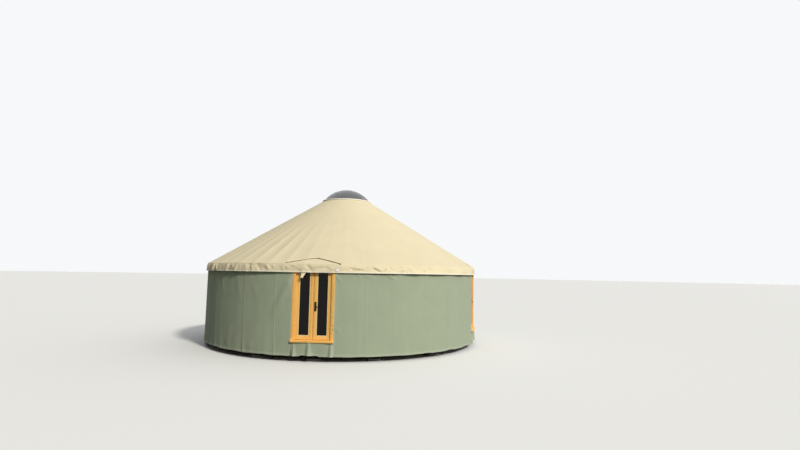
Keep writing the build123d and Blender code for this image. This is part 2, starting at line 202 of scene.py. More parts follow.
class Form:
    """Points, faces and UVs of one piece, gathered patch by patch."""

    def __init__(self):
        self.points, self.uvs, self.faces, self.face_uvs = [], [], [], []
        self.point_count = self.uv_count = 0

    def add(self, points, uvs, faces, face_uvs):
        """Takes in a patch, whose faces count on from the points and UVs that are already there."""
        self.faces.append(np.asarray(faces) + self.point_count)
        self.face_uvs.append(np.asarray(face_uvs) + self.uv_count)
        self.points.append(points)
        self.uvs.append(uvs)
        self.point_count += len(points)
        self.uv_count += len(uvs)

    def grid(self, points, uvs, close_rows=False, close_columns=False, flip=False):
        """A grid of points, with one more row or column of UVs where it closes on itself."""
        faces = grid_faces(*points.shape[:2], close_rows, close_columns)
        face_uvs = grid_faces(*uvs.shape[:2])
        if flip:
            faces, face_uvs = faces[:, ::-1], face_uvs[:, ::-1]
        self.add(points.reshape(-1, 3), uvs.reshape(-1, 2), faces, face_uvs)

    def fan(self, start, count, uvs, turned):
        """Closes a ring of points, which begins at a point's number, with triangles to its middle."""
        ring = np.arange(count)
        after = np.roll(ring, -1)
        corners = (after, ring) if turned else (ring, after)
        fan = np.stack((*corners, np.full_like(ring, count)), axis=-1)
        points = np.vstack(self.points)[start : start + count]
        faces = np.where(fan < count, fan + start - self.point_count, 0)
        self.add(points.mean(axis=0)[None], np.vstack((uvs, uvs.mean(axis=0))), faces, fan)

    def tube(self, rings, shift=(0, 0), closed=False, flip=False):
        """Rings of points joined one after another, the ends closed by fans unless the tube is closed.

        UVs are metres round the first ring and along the rings' middles, moved by shift.
        """
        stations, count = rings.shape[:2]
        loop = np.concatenate((rings[0], rings[0][:1]))
        around = np.concatenate(([0], np.cumsum(np.linalg.norm(np.diff(loop, axis=0), axis=1))))
        middles = rings.mean(axis=1)
        route = np.concatenate((middles, middles[:1])) if closed else middles
        along = np.concatenate(([0], np.cumsum(np.linalg.norm(np.diff(route, axis=0), axis=1))))
        uvs = np.stack(np.meshgrid(around + shift[0], along + shift[1]), axis=-1)
        first = self.point_count
        self.grid(rings, uvs, close_rows=closed, close_columns=True, flip=flip)
        if not closed:
            self.fan(first, count, uvs[0, :-1], not flip)
            self.fan(first + (stations - 1) * count, count, uvs[-1, :-1], flip)

    def sweep(self, outline, centres, out, shift=(0, 0), closed=False, sizes=None):
        """An outline carried along a path: centre + x across + y out at each station, scaled by sizes.

        Across is out x the path's direction, and the outline runs anticlockwise seen from the path's end.
        """
        centres, out = (np.array(v, float) for v in np.broadcast_arrays(centres, out))
        if closed:
            path = np.roll(centres, -1, axis=0) - np.roll(centres, 1, axis=0)
        else:
            path = np.gradient(centres, axis=0)
        across = np.cross(out, path)
        across /= np.linalg.norm(across, axis=1)[:, None]
        scale = np.ones(len(centres)) if sizes is None else np.asarray(sizes)
        flat = outline[None] * scale[:, None, None]
        rings = centres[:, None] + flat[..., :1] * across[:, None] + flat[..., 1:] * out[:, None]
        self.tube(rings, shift, closed)

    def revolve(self, profile, columns, closed=False):
        """A profile of radii and heights turned about the yurt's axis, from a top pole outwards and down.

        A closed profile makes a ring. Otherwise both ends of the profile are poles, closed by fans.
        """
        azimuth = np.arange(columns) * 2 * pi / columns
        rings = polar(azimuth[None], profile[:, :1], profile[:, 1:])
        self.tube(rings, closed=closed, flip=True)

    def board(self, low, high, along, ease_radius, number=0):
        """A planed board between two corners, grain along one axis, with eased edges and ends.

        It is a rounded rectangle carried along the grain, a little smaller at both ends.
        """
        low, high = np.minimum(low, high), np.maximum(low, high)
        size, middle = high - low, (low + high) / 2
        sides = [(along + 1) % 3, (along + 2) % 3]
        unit = np.eye(3)
        reach = size[along] / 2
        inset = 1 - 2 * ease_radius / min(size[sides])
        places = np.array((-reach, ease_radius - reach, reach - ease_radius, reach))
        outline = rounded(size[sides[0]], size[sides[1]], ease_radius)
        shift = (0.173 * number, 0.71 * number)
        centres = middle + places[:, None] * unit[along]
        self.sweep(outline, centres, unit[sides[1]], shift, sizes=[inset, 1, 1, inset])

    def boards(self, rows, ease_radius, number):
        """Planed boards, numbered one after another: two corners and the grain's axis of each."""
        for i, (low, high, along) in enumerate(rows):
            self.board(low, high, along, ease_radius, number + i)

    def turned(self, azimuth):
        """The same form, turned about the yurt's axis."""
        c, s = cos(azimuth), sin(azimuth)
        turn = np.array(((c, s, 0), (-s, c, 0), (0, 0, 1)))
        self.points = [points @ turn for points in self.points]
        return self

    def mirrored(self):
        """The same form on the other side of the door's middle, its faces turned to point outwards."""
        self.points = [points * (-1, 1, 1) for points in self.points]
        self.faces = [faces[:, ::-1] for faces in self.faces]
        self.face_uvs = [faces[:, ::-1] for faces in self.face_uvs]
        return self

    def piece(self, name, material, body="root", slot=None, replaces=(), uv_name=GRAIN_UV, sharp=None):
        """A Blender object of the form, riding on a body."""
        points, uvs = np.vstack(self.points), np.vstack(self.uvs)
        corners = np.concatenate([faces.ravel() for faces in self.faces]).astype(np.int32)
        uv_corners = np.concatenate([faces.ravel() for faces in self.face_uvs])
        sides = np.concatenate([np.full(len(faces), faces.shape[1]) for faces in self.faces])
        mesh = bpy.data.meshes.new(name)
        mesh.vertices.add(len(points))
        mesh.vertices.foreach_set("co", points.astype(np.float32).ravel())
        mesh.loops.add(len(corners))
        mesh.loops.foreach_set("vertex_index", corners)
        mesh.polygons.add(len(sides))
        starts = np.concatenate(([0], np.cumsum(sides)[:-1])).astype(np.int32)
        mesh.polygons.foreach_set("loop_start", starts)
        layer = mesh.uv_layers.new(name=uv_name)
        layer.data.foreach_set("uv", uvs[uv_corners].astype(np.float32).ravel())
        mesh.polygons.foreach_set("use_smooth", np.ones(len(sides), bool))
        mesh.update(calc_edges=True)
        if mesh.validate():
            raise RuntimeError(f"{name} has faces that Blender had to mend")
        if sharp is not None:
            mesh.set_sharp_from_angle(angle=sharp)
        mesh.materials.append(material)
        obj = bpy.data.objects.new(name, mesh)
        bpy.context.scene.collection.objects.link(obj)
        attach(obj, body)
        if replaces:
            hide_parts(*replaces)
        return obj


def rounded(width, height, radius, steps=2):
    """An anticlockwise rectangle about the origin, its corners rounded by quarter circles."""
    corner = np.arange(steps + 1) * pi / 2 / steps
    points = []
    for quarter, signs in enumerate(((1, 1), (-1, 1), (-1, -1), (1, -1))):
        turn = corner + quarter * pi / 2
        middle = np.array(signs) * (width / 2 - radius, height / 2 - radius)
        points.append(middle + radius * stacked(np.cos(turn), np.sin(turn)))
    return np.vstack(points)


def circle(radius, sides):
    """Points round the origin: radius times (cos t, sin t), anticlockwise."""
    turn = np.arange(sides) * 2 * pi / sides
    return radius * stacked(np.cos(turn), np.sin(turn))


def ring_route(radius, height, stations):
    """Points evenly round the yurt's axis."""
    return polar(np.arange(stations) * 2 * pi / stations, radius, height)


def thicken(obj, thickness):
    """Gives a sheet its thickness inwards, closes its edges, and keeps their corners sharp."""
    mesh = obj.data
    edges = np.zeros(len(mesh.loops), np.int32)
    mesh.loops.foreach_get("edge_index", edges)
    mesh.edges.foreach_set("use_edge_sharp", np.bincount(edges, minlength=len(mesh.edges)) == 1)
    modifier = obj.modifiers.new("thickness", "SOLIDIFY")
    modifier.thickness = thickness
    modifier.offset = -1


def ease_edges(obj, width, segments, angle=30):
    """Bevels a piece's corners that are sharper than an angle in degrees."""
    bevel = obj.modifiers.new("eased_edges", "BEVEL")
    bevel.width = width
    bevel.segments = segments
    bevel.limit_method = "ANGLE"
    bevel.angle_limit = radians(angle)


def mark(obj, name, values):
    """Stores one number at each point of a piece, for its material."""
    attribute = obj.data.attributes.new(name, "FLOAT", "POINT")
    attribute.data.foreach_set("value", np.asarray(values, np.float32).ravel())


# Finishes

# A wave texture of scale 1 repeats every pi / 10, so WAVE / spacing is the scale of a real spacing in metres.
WAVE = 0.314
THREAD = 0.0024
STITCH = 0.009
STITCH_HALF_WIDTH = 0.0011
STITCH_ROWS = (("seam", 0.009), ("hem", 0.008), ("hem", 0.036))
SEAM_SHOWN = (0.0208, 0.0338)
HEM_SHOWN = (0.030, 0.042)
KNOT_SPACING = 0.11
KNOT_CORE, KNOT_SWELL = (0.014, 0.022), (0.036, 0.110)
# Inputs of a map range node: a range of values, and what it becomes.
RANGE = ("From Min", "From Max", "To Min", "To Max")


def add(tree, kind, values=None, links=None):
    """Adds a shader node, sets its properties or inputs by name or number, and links its inputs.

    A link comes from a socket, or from the first output that a node has in use.
    """
    node = tree.nodes.new("ShaderNode" + kind)
    for key, value in (values or {}).items():
        if isinstance(key, str) and hasattr(node, key):
            setattr(node, key, value)
        else:
            node.inputs[key].default_value = value
    for key, source in (links or {}).items():
        if hasattr(source, "outputs"):
            source = next(socket for socket in source.outputs if socket.enabled)
        tree.links.new(node.inputs[key], source)
    return node


def start_material(name):
    """An empty material, its node tree and the place of each point on the object."""
    material = bpy.data.materials.new(name)
    material.use_nodes = True
    tree = material.node_tree
    tree.nodes.clear()
    return material, tree, add(tree, "TexCoord").outputs["Object"]


def end_material(material, values, links):
    """Gives a material its shader and output, and returns it."""
    shader = add(material.node_tree, "BsdfPrincipled", values, links)
    add(material.node_tree, "OutputMaterial", links={"Surface": shader})
    return material


def shade(colour, factor=1):
    """A linear colour made lighter or darker, with full alpha."""
    return (*[min(1, c * factor) for c in colour], 1)


def clouded(tree, place, scale, detail, first, second):
    """Clouds of noise, their number to the metre given by the scale, and a mix of two colours by them."""
    cloud = add(tree, "TexNoise", {"Scale": scale, "Detail": detail}, {"Vector": place})
    return cloud, add(tree, "Mix", {"data_type": "RGBA", 6: first, 7: second}, {0: cloud})


def canvas_material(name, colour, painted_hem_highlight, painted_seam_highlight, streaks, dust):
    """Woven coated canvas: matt, with a fine basket of threads, faint soiling, and rows of lockstitch.

    Attributes seam and hem hold the distance in metres from the nearest seam and hem, and a band along each
    is painted lighter, as a highlight. The thread is drawn at 2.4 mm, about three times the real one, because
    the real one is too fine to show. Soiling lies in clouds of 60 cm, streaks are 11 cm wide and ten times as
    long, and crumples are 8 cm. Dust darkens what faces up, where rain leaves it.
    """
    material, tree, place = start_material(name)
    uv = add(tree, "UVMap", {"uv_map": SHEET_UV})
    weft = add(tree, "TexWave", {"bands_direction": "X", "Scale": WAVE / THREAD}, {"Vector": uv})
    warp = add(tree, "TexWave", {"bands_direction": "Y", "Scale": WAVE / THREAD}, {"Vector": uv})
    weave = add(tree, "Math", {"operation": "MULTIPLY"}, {0: weft, 1: warp})
    broad = add(tree, "TexNoise", {"Scale": 1.7, "Detail": 4.0, "Roughness": 0.6}, {"Vector": place})
    crumple = add(tree, "TexNoise", {"Scale": 13.0, "Detail": 3.0, "Roughness": 0.5}, {"Vector": place})
    stretch = add(tree, "Mapping", {"Scale": (9.0, 9.0, 0.9)}, {"Vector": place})
    streak = add(tree, "TexNoise", {"Scale": 1.0, "Detail": 5.0, "Roughness": 0.65}, {"Vector": stretch})
    edges = {}
    for edge in ("seam", "hem"):
        edges[edge] = add(tree, "Attribute", {"attribute_name": edge}).outputs["Fac"]
    near_seam, near_hem = (*SEAM_SHOWN, painted_seam_highlight, 0), (*HEM_SHOWN, painted_hem_highlight, 0)
    seam_highlight_band = add(tree, "MapRange", dict(zip(RANGE, near_seam)), {"Value": edges["seam"]})
    hem_highlight_band = add(tree, "MapRange", dict(zip(RANGE, near_hem)), {"Value": edges["hem"]})
    # A lighter band along hems and seams: painted highlight, not doubled cloth.
    doubled = add(tree, "Math", {"operation": "MAXIMUM"}, {0: seam_highlight_band, 1: hem_highlight_band})
    lines = None
    for edge, distance in STITCH_ROWS:
        row = add(tree, "Math", {"operation": "COMPARE", 1: distance, 2: STITCH_HALF_WIDTH}, {0: edges[edge]})
        lines = add(tree, "Math", {"operation": "MAXIMUM"}, {0: lines, 1: row}) if lines else row
    dash = add(tree, "TexWave", {"bands_direction": "DIAGONAL", "Scale": WAVE / STITCH}, {"Vector": uv})
    thread_on = add(tree, "Math", {"operation": "GREATER_THAN", 1: 0.35}, {0: dash})
    stitches = add(tree, "Math", {"operation": "MULTIPLY"}, {0: lines, 1: thread_on})

    soiled = add(tree, "MapRange", dict(zip(RANGE, (0.35, 0.72, 0, 0.55))), {"Value": broad})
    facing = add(tree, "SeparateXYZ", links={"Vector": add(tree, "NewGeometry").outputs["Normal"]})
    upward = (0.2, 0.8, 0, dust / 0.4)
    settled = add(tree, "MapRange", dict(zip(RANGE, upward)), {"Value": facing.outputs["Z"]})
    run = add(tree, "MapRange", dict(zip(RANGE, (0.52, 0.80, 0, streaks))), {"Value": streak})
    fine = add(tree, "Math", {"operation": "MULTIPLY", 1: 0.16}, {0: weave})
    tones = {"data_type": "RGBA", 6: shade(colour, 1.03), 7: shade(colour, 0.90)}
    cloth = add(tree, "Mix", tones, {0: soiled})
    layers = (
        (settled, shade(colour, 0.60)),
        (run, shade(colour, 0.62)),
        # Painted highlight along hems and seams.
        (doubled, shade([c + 0.3 * (1 - c) for c in colour])),
        (stitches, shade(colour, 0.82)),
        (fine, shade(colour, 0.80)),
    )
    for amount, tint in layers:
        cloth = add(tree, "Mix", {"data_type": "RGBA", 7: tint}, {0: amount, 6: cloth})
    bump = add(tree, "Bump", {"Strength": 0.35, "Distance": 0.004}, {"Height": crumple})
    bump = add(tree, "Bump", {"Strength": 0.30, "Distance": 0.0004}, {"Height": weave, "Normal": bump})
    sunk = {"Strength": 0.6, "Distance": 0.0008, "invert": True}
    bump = add(tree, "Bump", sunk, {"Height": stitches, "Normal": bump})
    gloss = {"Roughness": 0.86, "Specular IOR Level": 0.25, "Sheen Weight": 0.08, "Sheen Roughness": 0.5}
    return end_material(material, gloss, {"Base Color": cloth, "Normal": bump})


def timber_material(name, light, dark, knots, gloss, ring=0.006, along=None):
    """Softwood boards: pale earlywood, darker latewood lines that sway along the grain, and knots.

    The lines are about 6 mm apart. The UV map holds metres across and along the board. Where along names an
    axis, the board has no UV map, and the grain runs along that axis of the object. Oil leaves a low satin
    gloss.
    """
    material, tree, place = start_material(name)
    if along is None:
        uv = add(tree, "UVMap", {"uv_map": GRAIN_UV})
    else:
        axes = add(tree, "SeparateXYZ", links={"Vector": place}).outputs
        first, second = (axes[i] for i in range(3) if i != along)
        across = add(tree, "Math", {"operation": "ADD"}, {0: first, 1: second})
        uv = add(tree, "CombineXYZ", links={0: across, 1: axes[along]})
    knot = add(tree, "TexVoronoi", {"voronoi_dimensions": "2D", "Scale": 1 / KNOT_SPACING}, {"Vector": uv})
    chance = add(tree, "SeparateColor", links={"Color": knot.outputs["Color"]}).outputs
    chosen = add(tree, "Math", {"operation": "LESS_THAN", 1: knots}, {0: chance[0]})
    from_knot = add(tree, "VectorMath", {"operation": "SUBTRACT"}, {0: uv, 1: knot.outputs["Position"]})
    smaller = add(tree, "MapRange", {"To Min": 0.7, "To Max": 2.6}, {"Value": chance[1]})
    sized = add(tree, "VectorMath", {"operation": "SCALE"}, {0: from_knot, "Scale": smaller})
    reaches = []
    for across, down in (KNOT_CORE, KNOT_SWELL):
        shaped = add(tree, "VectorMath", {"operation": "MULTIPLY", 1: (1 / across, 1 / down, 0)}, {0: sized})
        away = add(tree, "VectorMath", {"operation": "LENGTH"}, {0: shaped})
        fading = {"interpolation_type": "SMOOTHSTEP", **dict(zip(RANGE, (0, 1, 1, 0)))}
        near = add(tree, "MapRange", fading, {"Value": away})
        reaches.append(add(tree, "Math", {"operation": "MULTIPLY"}, {0: near, 1: chosen}))
    core, swell = reaches
    long_uv = add(tree, "Mapping", {"Scale": (1 / 0.12, 1 / 0.9, 1)}, {"Vector": uv})
    sway = add(tree, "TexNoise", {"Scale": 1.0, "Detail": 2.0}, {"Vector": long_uv})
    parts = add(tree, "SeparateXYZ", links={"Vector": uv}).outputs
    bend = add(tree, "Math", {"operation": "MULTIPLY_ADD", 1: 0.055}, {0: sway, 2: parts[0]})
    pushed = add(tree, "Math", {"operation": "MULTIPLY_ADD", 1: 0.028}, {0: swell, 2: bend})
    grain = add(tree, "CombineXYZ", links={0: pushed, 1: parts[1]})
    ring_scale = add(tree, "Mapping", {"Scale": (1 / ring, 1 / 1.1, 1)}, {"Vector": grain})
    rings = add(tree, "TexNoise", {"Scale": 1.0, "Detail": 2.0, "Roughness": 0.45}, {"Vector": ring_scale})
    pore_scale = add(tree, "Mapping", {"Scale": (1 / 0.0016, 1 / 0.10, 1)}, {"Vector": grain})
    pores = add(tree, "TexNoise", {"Scale": 1.0, "Detail": 2.0}, {"Vector": pore_scale})
    board_uv = add(tree, "Mapping", {"Scale": (1 / 0.16, 1 / 3.0, 1)}, {"Vector": uv})
    board = add(tree, "TexNoise", {"Scale": 1.0, "Detail": 1.0}, {"Vector": board_uv})

    sharpened = {"interpolation_type": "SMOOTHSTEP", **dict(zip(RANGE, (0.46, 0.70, 0, 0.74)))}
    late = add(tree, "MapRange", sharpened, {"Value": rings})
    heart = add(tree, "MapRange", dict(zip(RANGE, (0.45, 0.65, 0, 0.45))), {"Value": board})
    flecks = add(tree, "MapRange", dict(zip(RANGE, (0.55, 0.80, 0, 0.35))), {"Value": pores})
    wood = add(tree, "Mix", {"data_type": "RGBA", 6: shade(light), 7: shade(dark, 1.15)}, {0: heart})
    for amount, tint in ((late, shade(dark)), (flecks, shade(dark, 0.8)), (core, shade(linear("#5A2E14")))):
        wood = add(tree, "Mix", {"data_type": "RGBA", 7: tint}, {0: amount, 6: wood})
    raised = add(tree, "Bump", {"Strength": 0.25, "Distance": 0.0005}, {"Height": rings})
    worn = add(tree, "MapRange", {"To Min": gloss, "To Max": min(1, gloss + 0.22)}, {"Value": rings})
    return end_material(material, {}, {"Base Color": wood, "Normal": raised, "Roughness": worn})


def glass_material():
    """Float glass over a dark room: smooth and deep, with a clear mirror at a glance. Its nearly black base
    colour is painted shade, standing in for the dark room behind it.
    """
    material, _, _ = start_material("float_glass_painted_dark")
    clear = {"Roughness": 0.03, "IOR": 1.45, "Specular IOR Level": 0.10, "Transmission Weight": 0.4}
    return end_material(material, {"Base Color": shade(linear("#100C07")), **clear}, {})


def coated_metal(name, colour, roughness):
    """Powder coat on metal: a soft even gloss, orange peel of about 1 mm, and wear in patches of 25 mm."""
    material, tree, place = start_material(name)
    wear, tone = clouded(tree, place, 40, 3, shade(colour, 0.8), shade(colour, 1.4))
    rough = add(tree, "MapRange", {"To Min": roughness - 0.06, "To Max": roughness + 0.08}, {"Value": wear})
    peel = add(tree, "TexNoise", {"Scale": 900.0, "Detail": 2.0}, {"Vector": place})
    bump = add(tree, "Bump", {"Strength": 0.15, "Distance": 0.0002}, {"Height": peel})
    links = {"Base Color": tone, "Roughness": rough, "Normal": bump}
    return end_material(material, {"Specular IOR Level": 0.3}, links)


def bare_metal(name, colour, roughness, twist=None):
    """Zinc-plated or galvanised steel: grey, cloudy in patches of 17 mm.

    A twist in metres draws the strands of a rope.
    """
    material, tree, place = start_material(name)
    cloud, tone = clouded(tree, place, 60, 4, shade(colour, 0.75), shade(colour, 1.05))
    rough = add(tree, "MapRange", {"To Min": roughness - 0.08, "To Max": roughness + 0.12}, {"Value": cloud})
    links = {"Base Color": tone, "Roughness": rough}
    if twist:
        uv = add(tree, "UVMap", {"uv_map": GRAIN_UV})
        strands = add(tree, "TexWave", {"bands_direction": "DIAGONAL", "Scale": WAVE / twist}, {"Vector": uv})
        links["Normal"] = add(tree, "Bump", {"Strength": 0.8, "Distance": 0.001}, {"Height": strands})
    return end_material(material, {"Metallic": 1.0}, links)


def acrylic_material(tint):
    """Blown acrylic sheet with a smoke tint: clear and smooth, with faint dust in clouds of 11 cm.

    It looks darker where the eye looks through more of it. The tint is partly painted shade: darker than the
    sheet's own smoke, it stands in for the dark surroundings seen through the dome.
    """
    material, tree, place = start_material("smoke_tinted_acrylic_painted_dark")
    dust = add(tree, "TexNoise", {"Scale": 9.0, "Detail": 6.0, "Roughness": 0.65}, {"Vector": place})
    rough = add(tree, "MapRange", dict(zip(RANGE, (0.35, 0.75, 0.03, 0.16))), {"Value": dust})
    clear = {"Base Color": shade(tint), "Transmission Weight": 0.92, "IOR": 1.49}
    return end_material(material, clear, {"Roughness": rough})


def rubber_material():
    """Extruded EPDM seal: near black, matt, with a chalky bloom in patches of 3 cm."""
    material, tree, place = start_material("extruded_rubber_seal")
    _, tone = clouded(tree, place, 35, 5, shade(linear("#26262A")), shade(linear("#4A4A4D")))
    return end_material(material, {"Roughness": 0.75}, {"Base Color": tone})


def concrete_material():
    """Cast concrete: pale grey in clouds of 17 cm, pits 11 mm apart, darker where damp has risen in it."""
    material, tree, place = start_material("cast_concrete")
    _, tone = clouded(tree, place, 6, 6, shade(linear("#A8A49B")), shade(linear("#7F7B73")))
    height = add(tree, "SeparateXYZ", links={"Vector": place}).outputs["Z"]
    damp = add(tree, "MapRange", dict(zip(RANGE, (0, 0.04, 0.55, 0))), {"Value": height})
    wet = add(tree, "Mix", {"data_type": "RGBA", 7: shade(linear("#5D584F"))}, {0: damp, 6: tone})
    pits = add(tree, "TexVoronoi", {"Scale": 90.0}, {"Vector": place})
    bump = add(tree, "Bump", {"Strength": 0.5, "Distance": 0.002}, {"Height": pits})
    return end_material(material, {"Roughness": 0.9}, {"Base Color": wet, "Normal": bump})


# Stage


def seen_directly(tree):
    """1 for camera, glossy and transmission rays, and 0 for the light that surfaces throw at each other."""
    rays = add(tree, "LightPath").outputs
    mirror = add(tree, "Math", {"operation": "MAXIMUM"}, {0: rays["Is Camera Ray"], 1: rays["Is Glossy Ray"]})
    return add(tree, "Math", {"operation": "MAXIMUM"}, {0: mirror, 1: rays["Is Transmission Ray"]})


def stage_material():
    """Matt backdrop paper. The camera, a mirror or glass sees it pale, but what it throws back is grey."""
    material, tree, _ = start_material("matt_paper")
    tones = {"data_type": "RGBA", 6: shade(linear("#52564B")), 7: shade(linear("#E9E9E6"))}
    paper = add(tree, "Mix", tones, {0: seen_directly(tree)})
    return end_material(material, {"Roughness": 0.9, "Specular IOR Level": 0.1}, {"Base Color": paper})


class YURT_OT_stage(Operator):
    """Makes the floor, the soft light and the camera"""

    bl_idname = "yurt.stage"
    bl_label = "Stage"

    floor_radius = 300.0
    floor_sides = 128
    camera_azimuth = radians(10.35)
    camera_distance = 17.708
    camera_height = 2.368
    camera_yaw = radians(-4.0484)
    camera_pitch = radians(5.6243)
    camera_roll = radians(1.0243)
    lens = 21.988
    sun_azimuth = radians(42)
    sun_elevation = radians(37)
    sun_strength = 2.42
    sun_size = radians(7)
    sun_colour = (1.0, 0.96, 0.89)
    sky_colour = (0.95, 0.97, 1.0, 1)
    backdrop_colour = (0.93, 0.94, 0.95, 1)
    # The sky brightens along a direction: from how far along it to how far, and its strength at both.
    sky_lean = (0.90, 0.10, 0.75)
    sky_range = (-0.30, 0.80, 0.03, 0.78)

    def execute(self, context):
        rim = np.pad(circle(self.floor_radius, self.floor_sides), ((0, 0), (0, 1)))
        mesh = bpy.data.meshes.new("studio_floor")
        mesh.from_pydata(rim, [], [range(self.floor_sides)])
        mesh.materials.append(stage_material())
        floor = bpy.data.objects.new("studio_floor", mesh)
        context.scene.collection.objects.link(floor)
        self.light(context)
        self.aim(context)
        return {"FINISHED"}

    def light(self, context):
        """A sky that brightens towards one side, seen as an even backdrop, and a soft sun from the right."""
        world = bpy.data.worlds.new("studio")
        world.use_nodes = True
        tree = world.node_tree
        tree.nodes.clear()
        where = add(tree, "TexCoord").outputs["Generated"]
        lean = add(tree, "VectorMath", {"operation": "DOT_PRODUCT", 1: self.sky_lean}, {0: where})
        brighter = {"interpolation_type": "SMOOTHSTEP", **dict(zip(RANGE, self.sky_range))}
        sky = add(tree, "MapRange", brighter, {"Value": lean})
        ambient = add(tree, "Background", {"Color": self.sky_colour}, {"Strength": sky})
        backdrop = add(tree, "Background", {"Color": self.backdrop_colour, "Strength": 1.0})
        mix = add(tree, "MixShader", links={0: seen_directly(tree), 1: ambient, 2: backdrop})
        add(tree, "OutputWorld", links={"Surface": mix})
        context.scene.world = world
        lamp = bpy.data.lights.new("soft_sun", "SUN")
        lamp.energy = self.sun_strength
        lamp.angle = self.sun_size
        lamp.color = self.sun_colour
        sun = bpy.data.objects.new("soft_sun", lamp)
        a, e = self.sun_azimuth, self.sun_elevation
        back = np.array((sin(a) * cos(e), -cos(a) * cos(e), sin(e)))
        side = np.array((cos(a), sin(a), 0))
        sun.matrix_world = facing_matrix(side, np.cross(back, side), back)
        context.scene.collection.objects.link(sun)

    def aim(self, context):
        """The camera looks along (sin yaw cos pitch, cos yaw cos pitch, sin pitch) and rolls about that."""
        yaw, pitch, roll = self.camera_yaw, self.camera_pitch, self.camera_roll
        forward = np.array((sin(yaw) * cos(pitch), cos(yaw) * cos(pitch), sin(pitch)))
        level = np.array((cos(yaw), -sin(yaw), 0))
        above = np.cross(level, forward)
        right = cos(roll) * level + sin(roll) * above
        up = cos(roll) * above - sin(roll) * level
        data = bpy.data.cameras.new("camera")
        data.lens = self.lens
        data.sensor_width = 36
        camera = bpy.data.objects.new("camera", data)
        where = polar(self.camera_azimuth, self.camera_distance, self.camera_height)
        camera.matrix_world = Matrix.Translation(where) @ facing_matrix(right, up, -forward)
        context.scene.collection.objects.link(camera)
        context.scene.camera = camera
        context.scene.view_settings.view_transform = "Standard"


def facing_matrix(right, up, back):
    """The turn that lays an object's axes along three directions."""
    return Matrix(np.column_stack((right, up, back)).tolist()).to_4x4()


# Roof cloth

# Radius of the bend at the eave, and rows of points on the cone, in the bend and on the valance.
EAVE_BEND = 0.030
CONE_ROWS, BEND_ROWS, DROP_ROWS = 56, 3, 26
GORE_COLUMNS = 181


def roof_profile(sizes):
    """Radius, height, normal and cloth distance down one line of roof and valance, and the valance's length.

    The cone runs straight from the crown's edge to the eave, a short arc turns it over, and the valance hangs
    straight with a small lean. Distance is measured from the eave: negative on the cone, positive below.
    """
    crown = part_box("crown_ring")[1].x
    hem, top = (corner.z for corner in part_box("roof_canvas_1"))
    eave = np.array((sizes.crease_radius, sizes.crease_height))
    cone, drop = eave - (crown, top), (sizes.valance_radius, hem) - eave
    cone_length, drop_length = np.linalg.norm(cone), np.linalg.norm(drop)
    cone, drop = cone / cone_length, drop / drop_length
    turn = acos(cone @ drop)
    back = EAVE_BEND * tan(turn / 2)
    above = np.sort(-back - (cone_length - back) * (1 - np.linspace(0, 1, CONE_ROWS) ** 0.7))
    below = np.linspace(back, drop_length, DROP_ROWS)
    arc = np.linspace(0, turn, BEND_ROWS + 2)[1:-1, None]
    inward = np.array((cone[1], -cone[0]))
    bend = EAVE_BEND * (inward + np.sin(arc) * cone - np.cos(arc) * inward) - back * cone
    points = eave + np.vstack((above[:, None] * cone, bend, below[:, None] * drop))
    distance = np.concatenate((above, np.linspace(-back, back, BEND_ROWS + 2)[1:-1], below))
    step = np.gradient(points, axis=0)
    step /= np.linalg.norm(step, axis=1)[:, None]
    normal = np.stack((-step[:, 1], step[:, 0]), axis=1)
    return points[:, 0], points[:, 1], normal, distance, drop_length


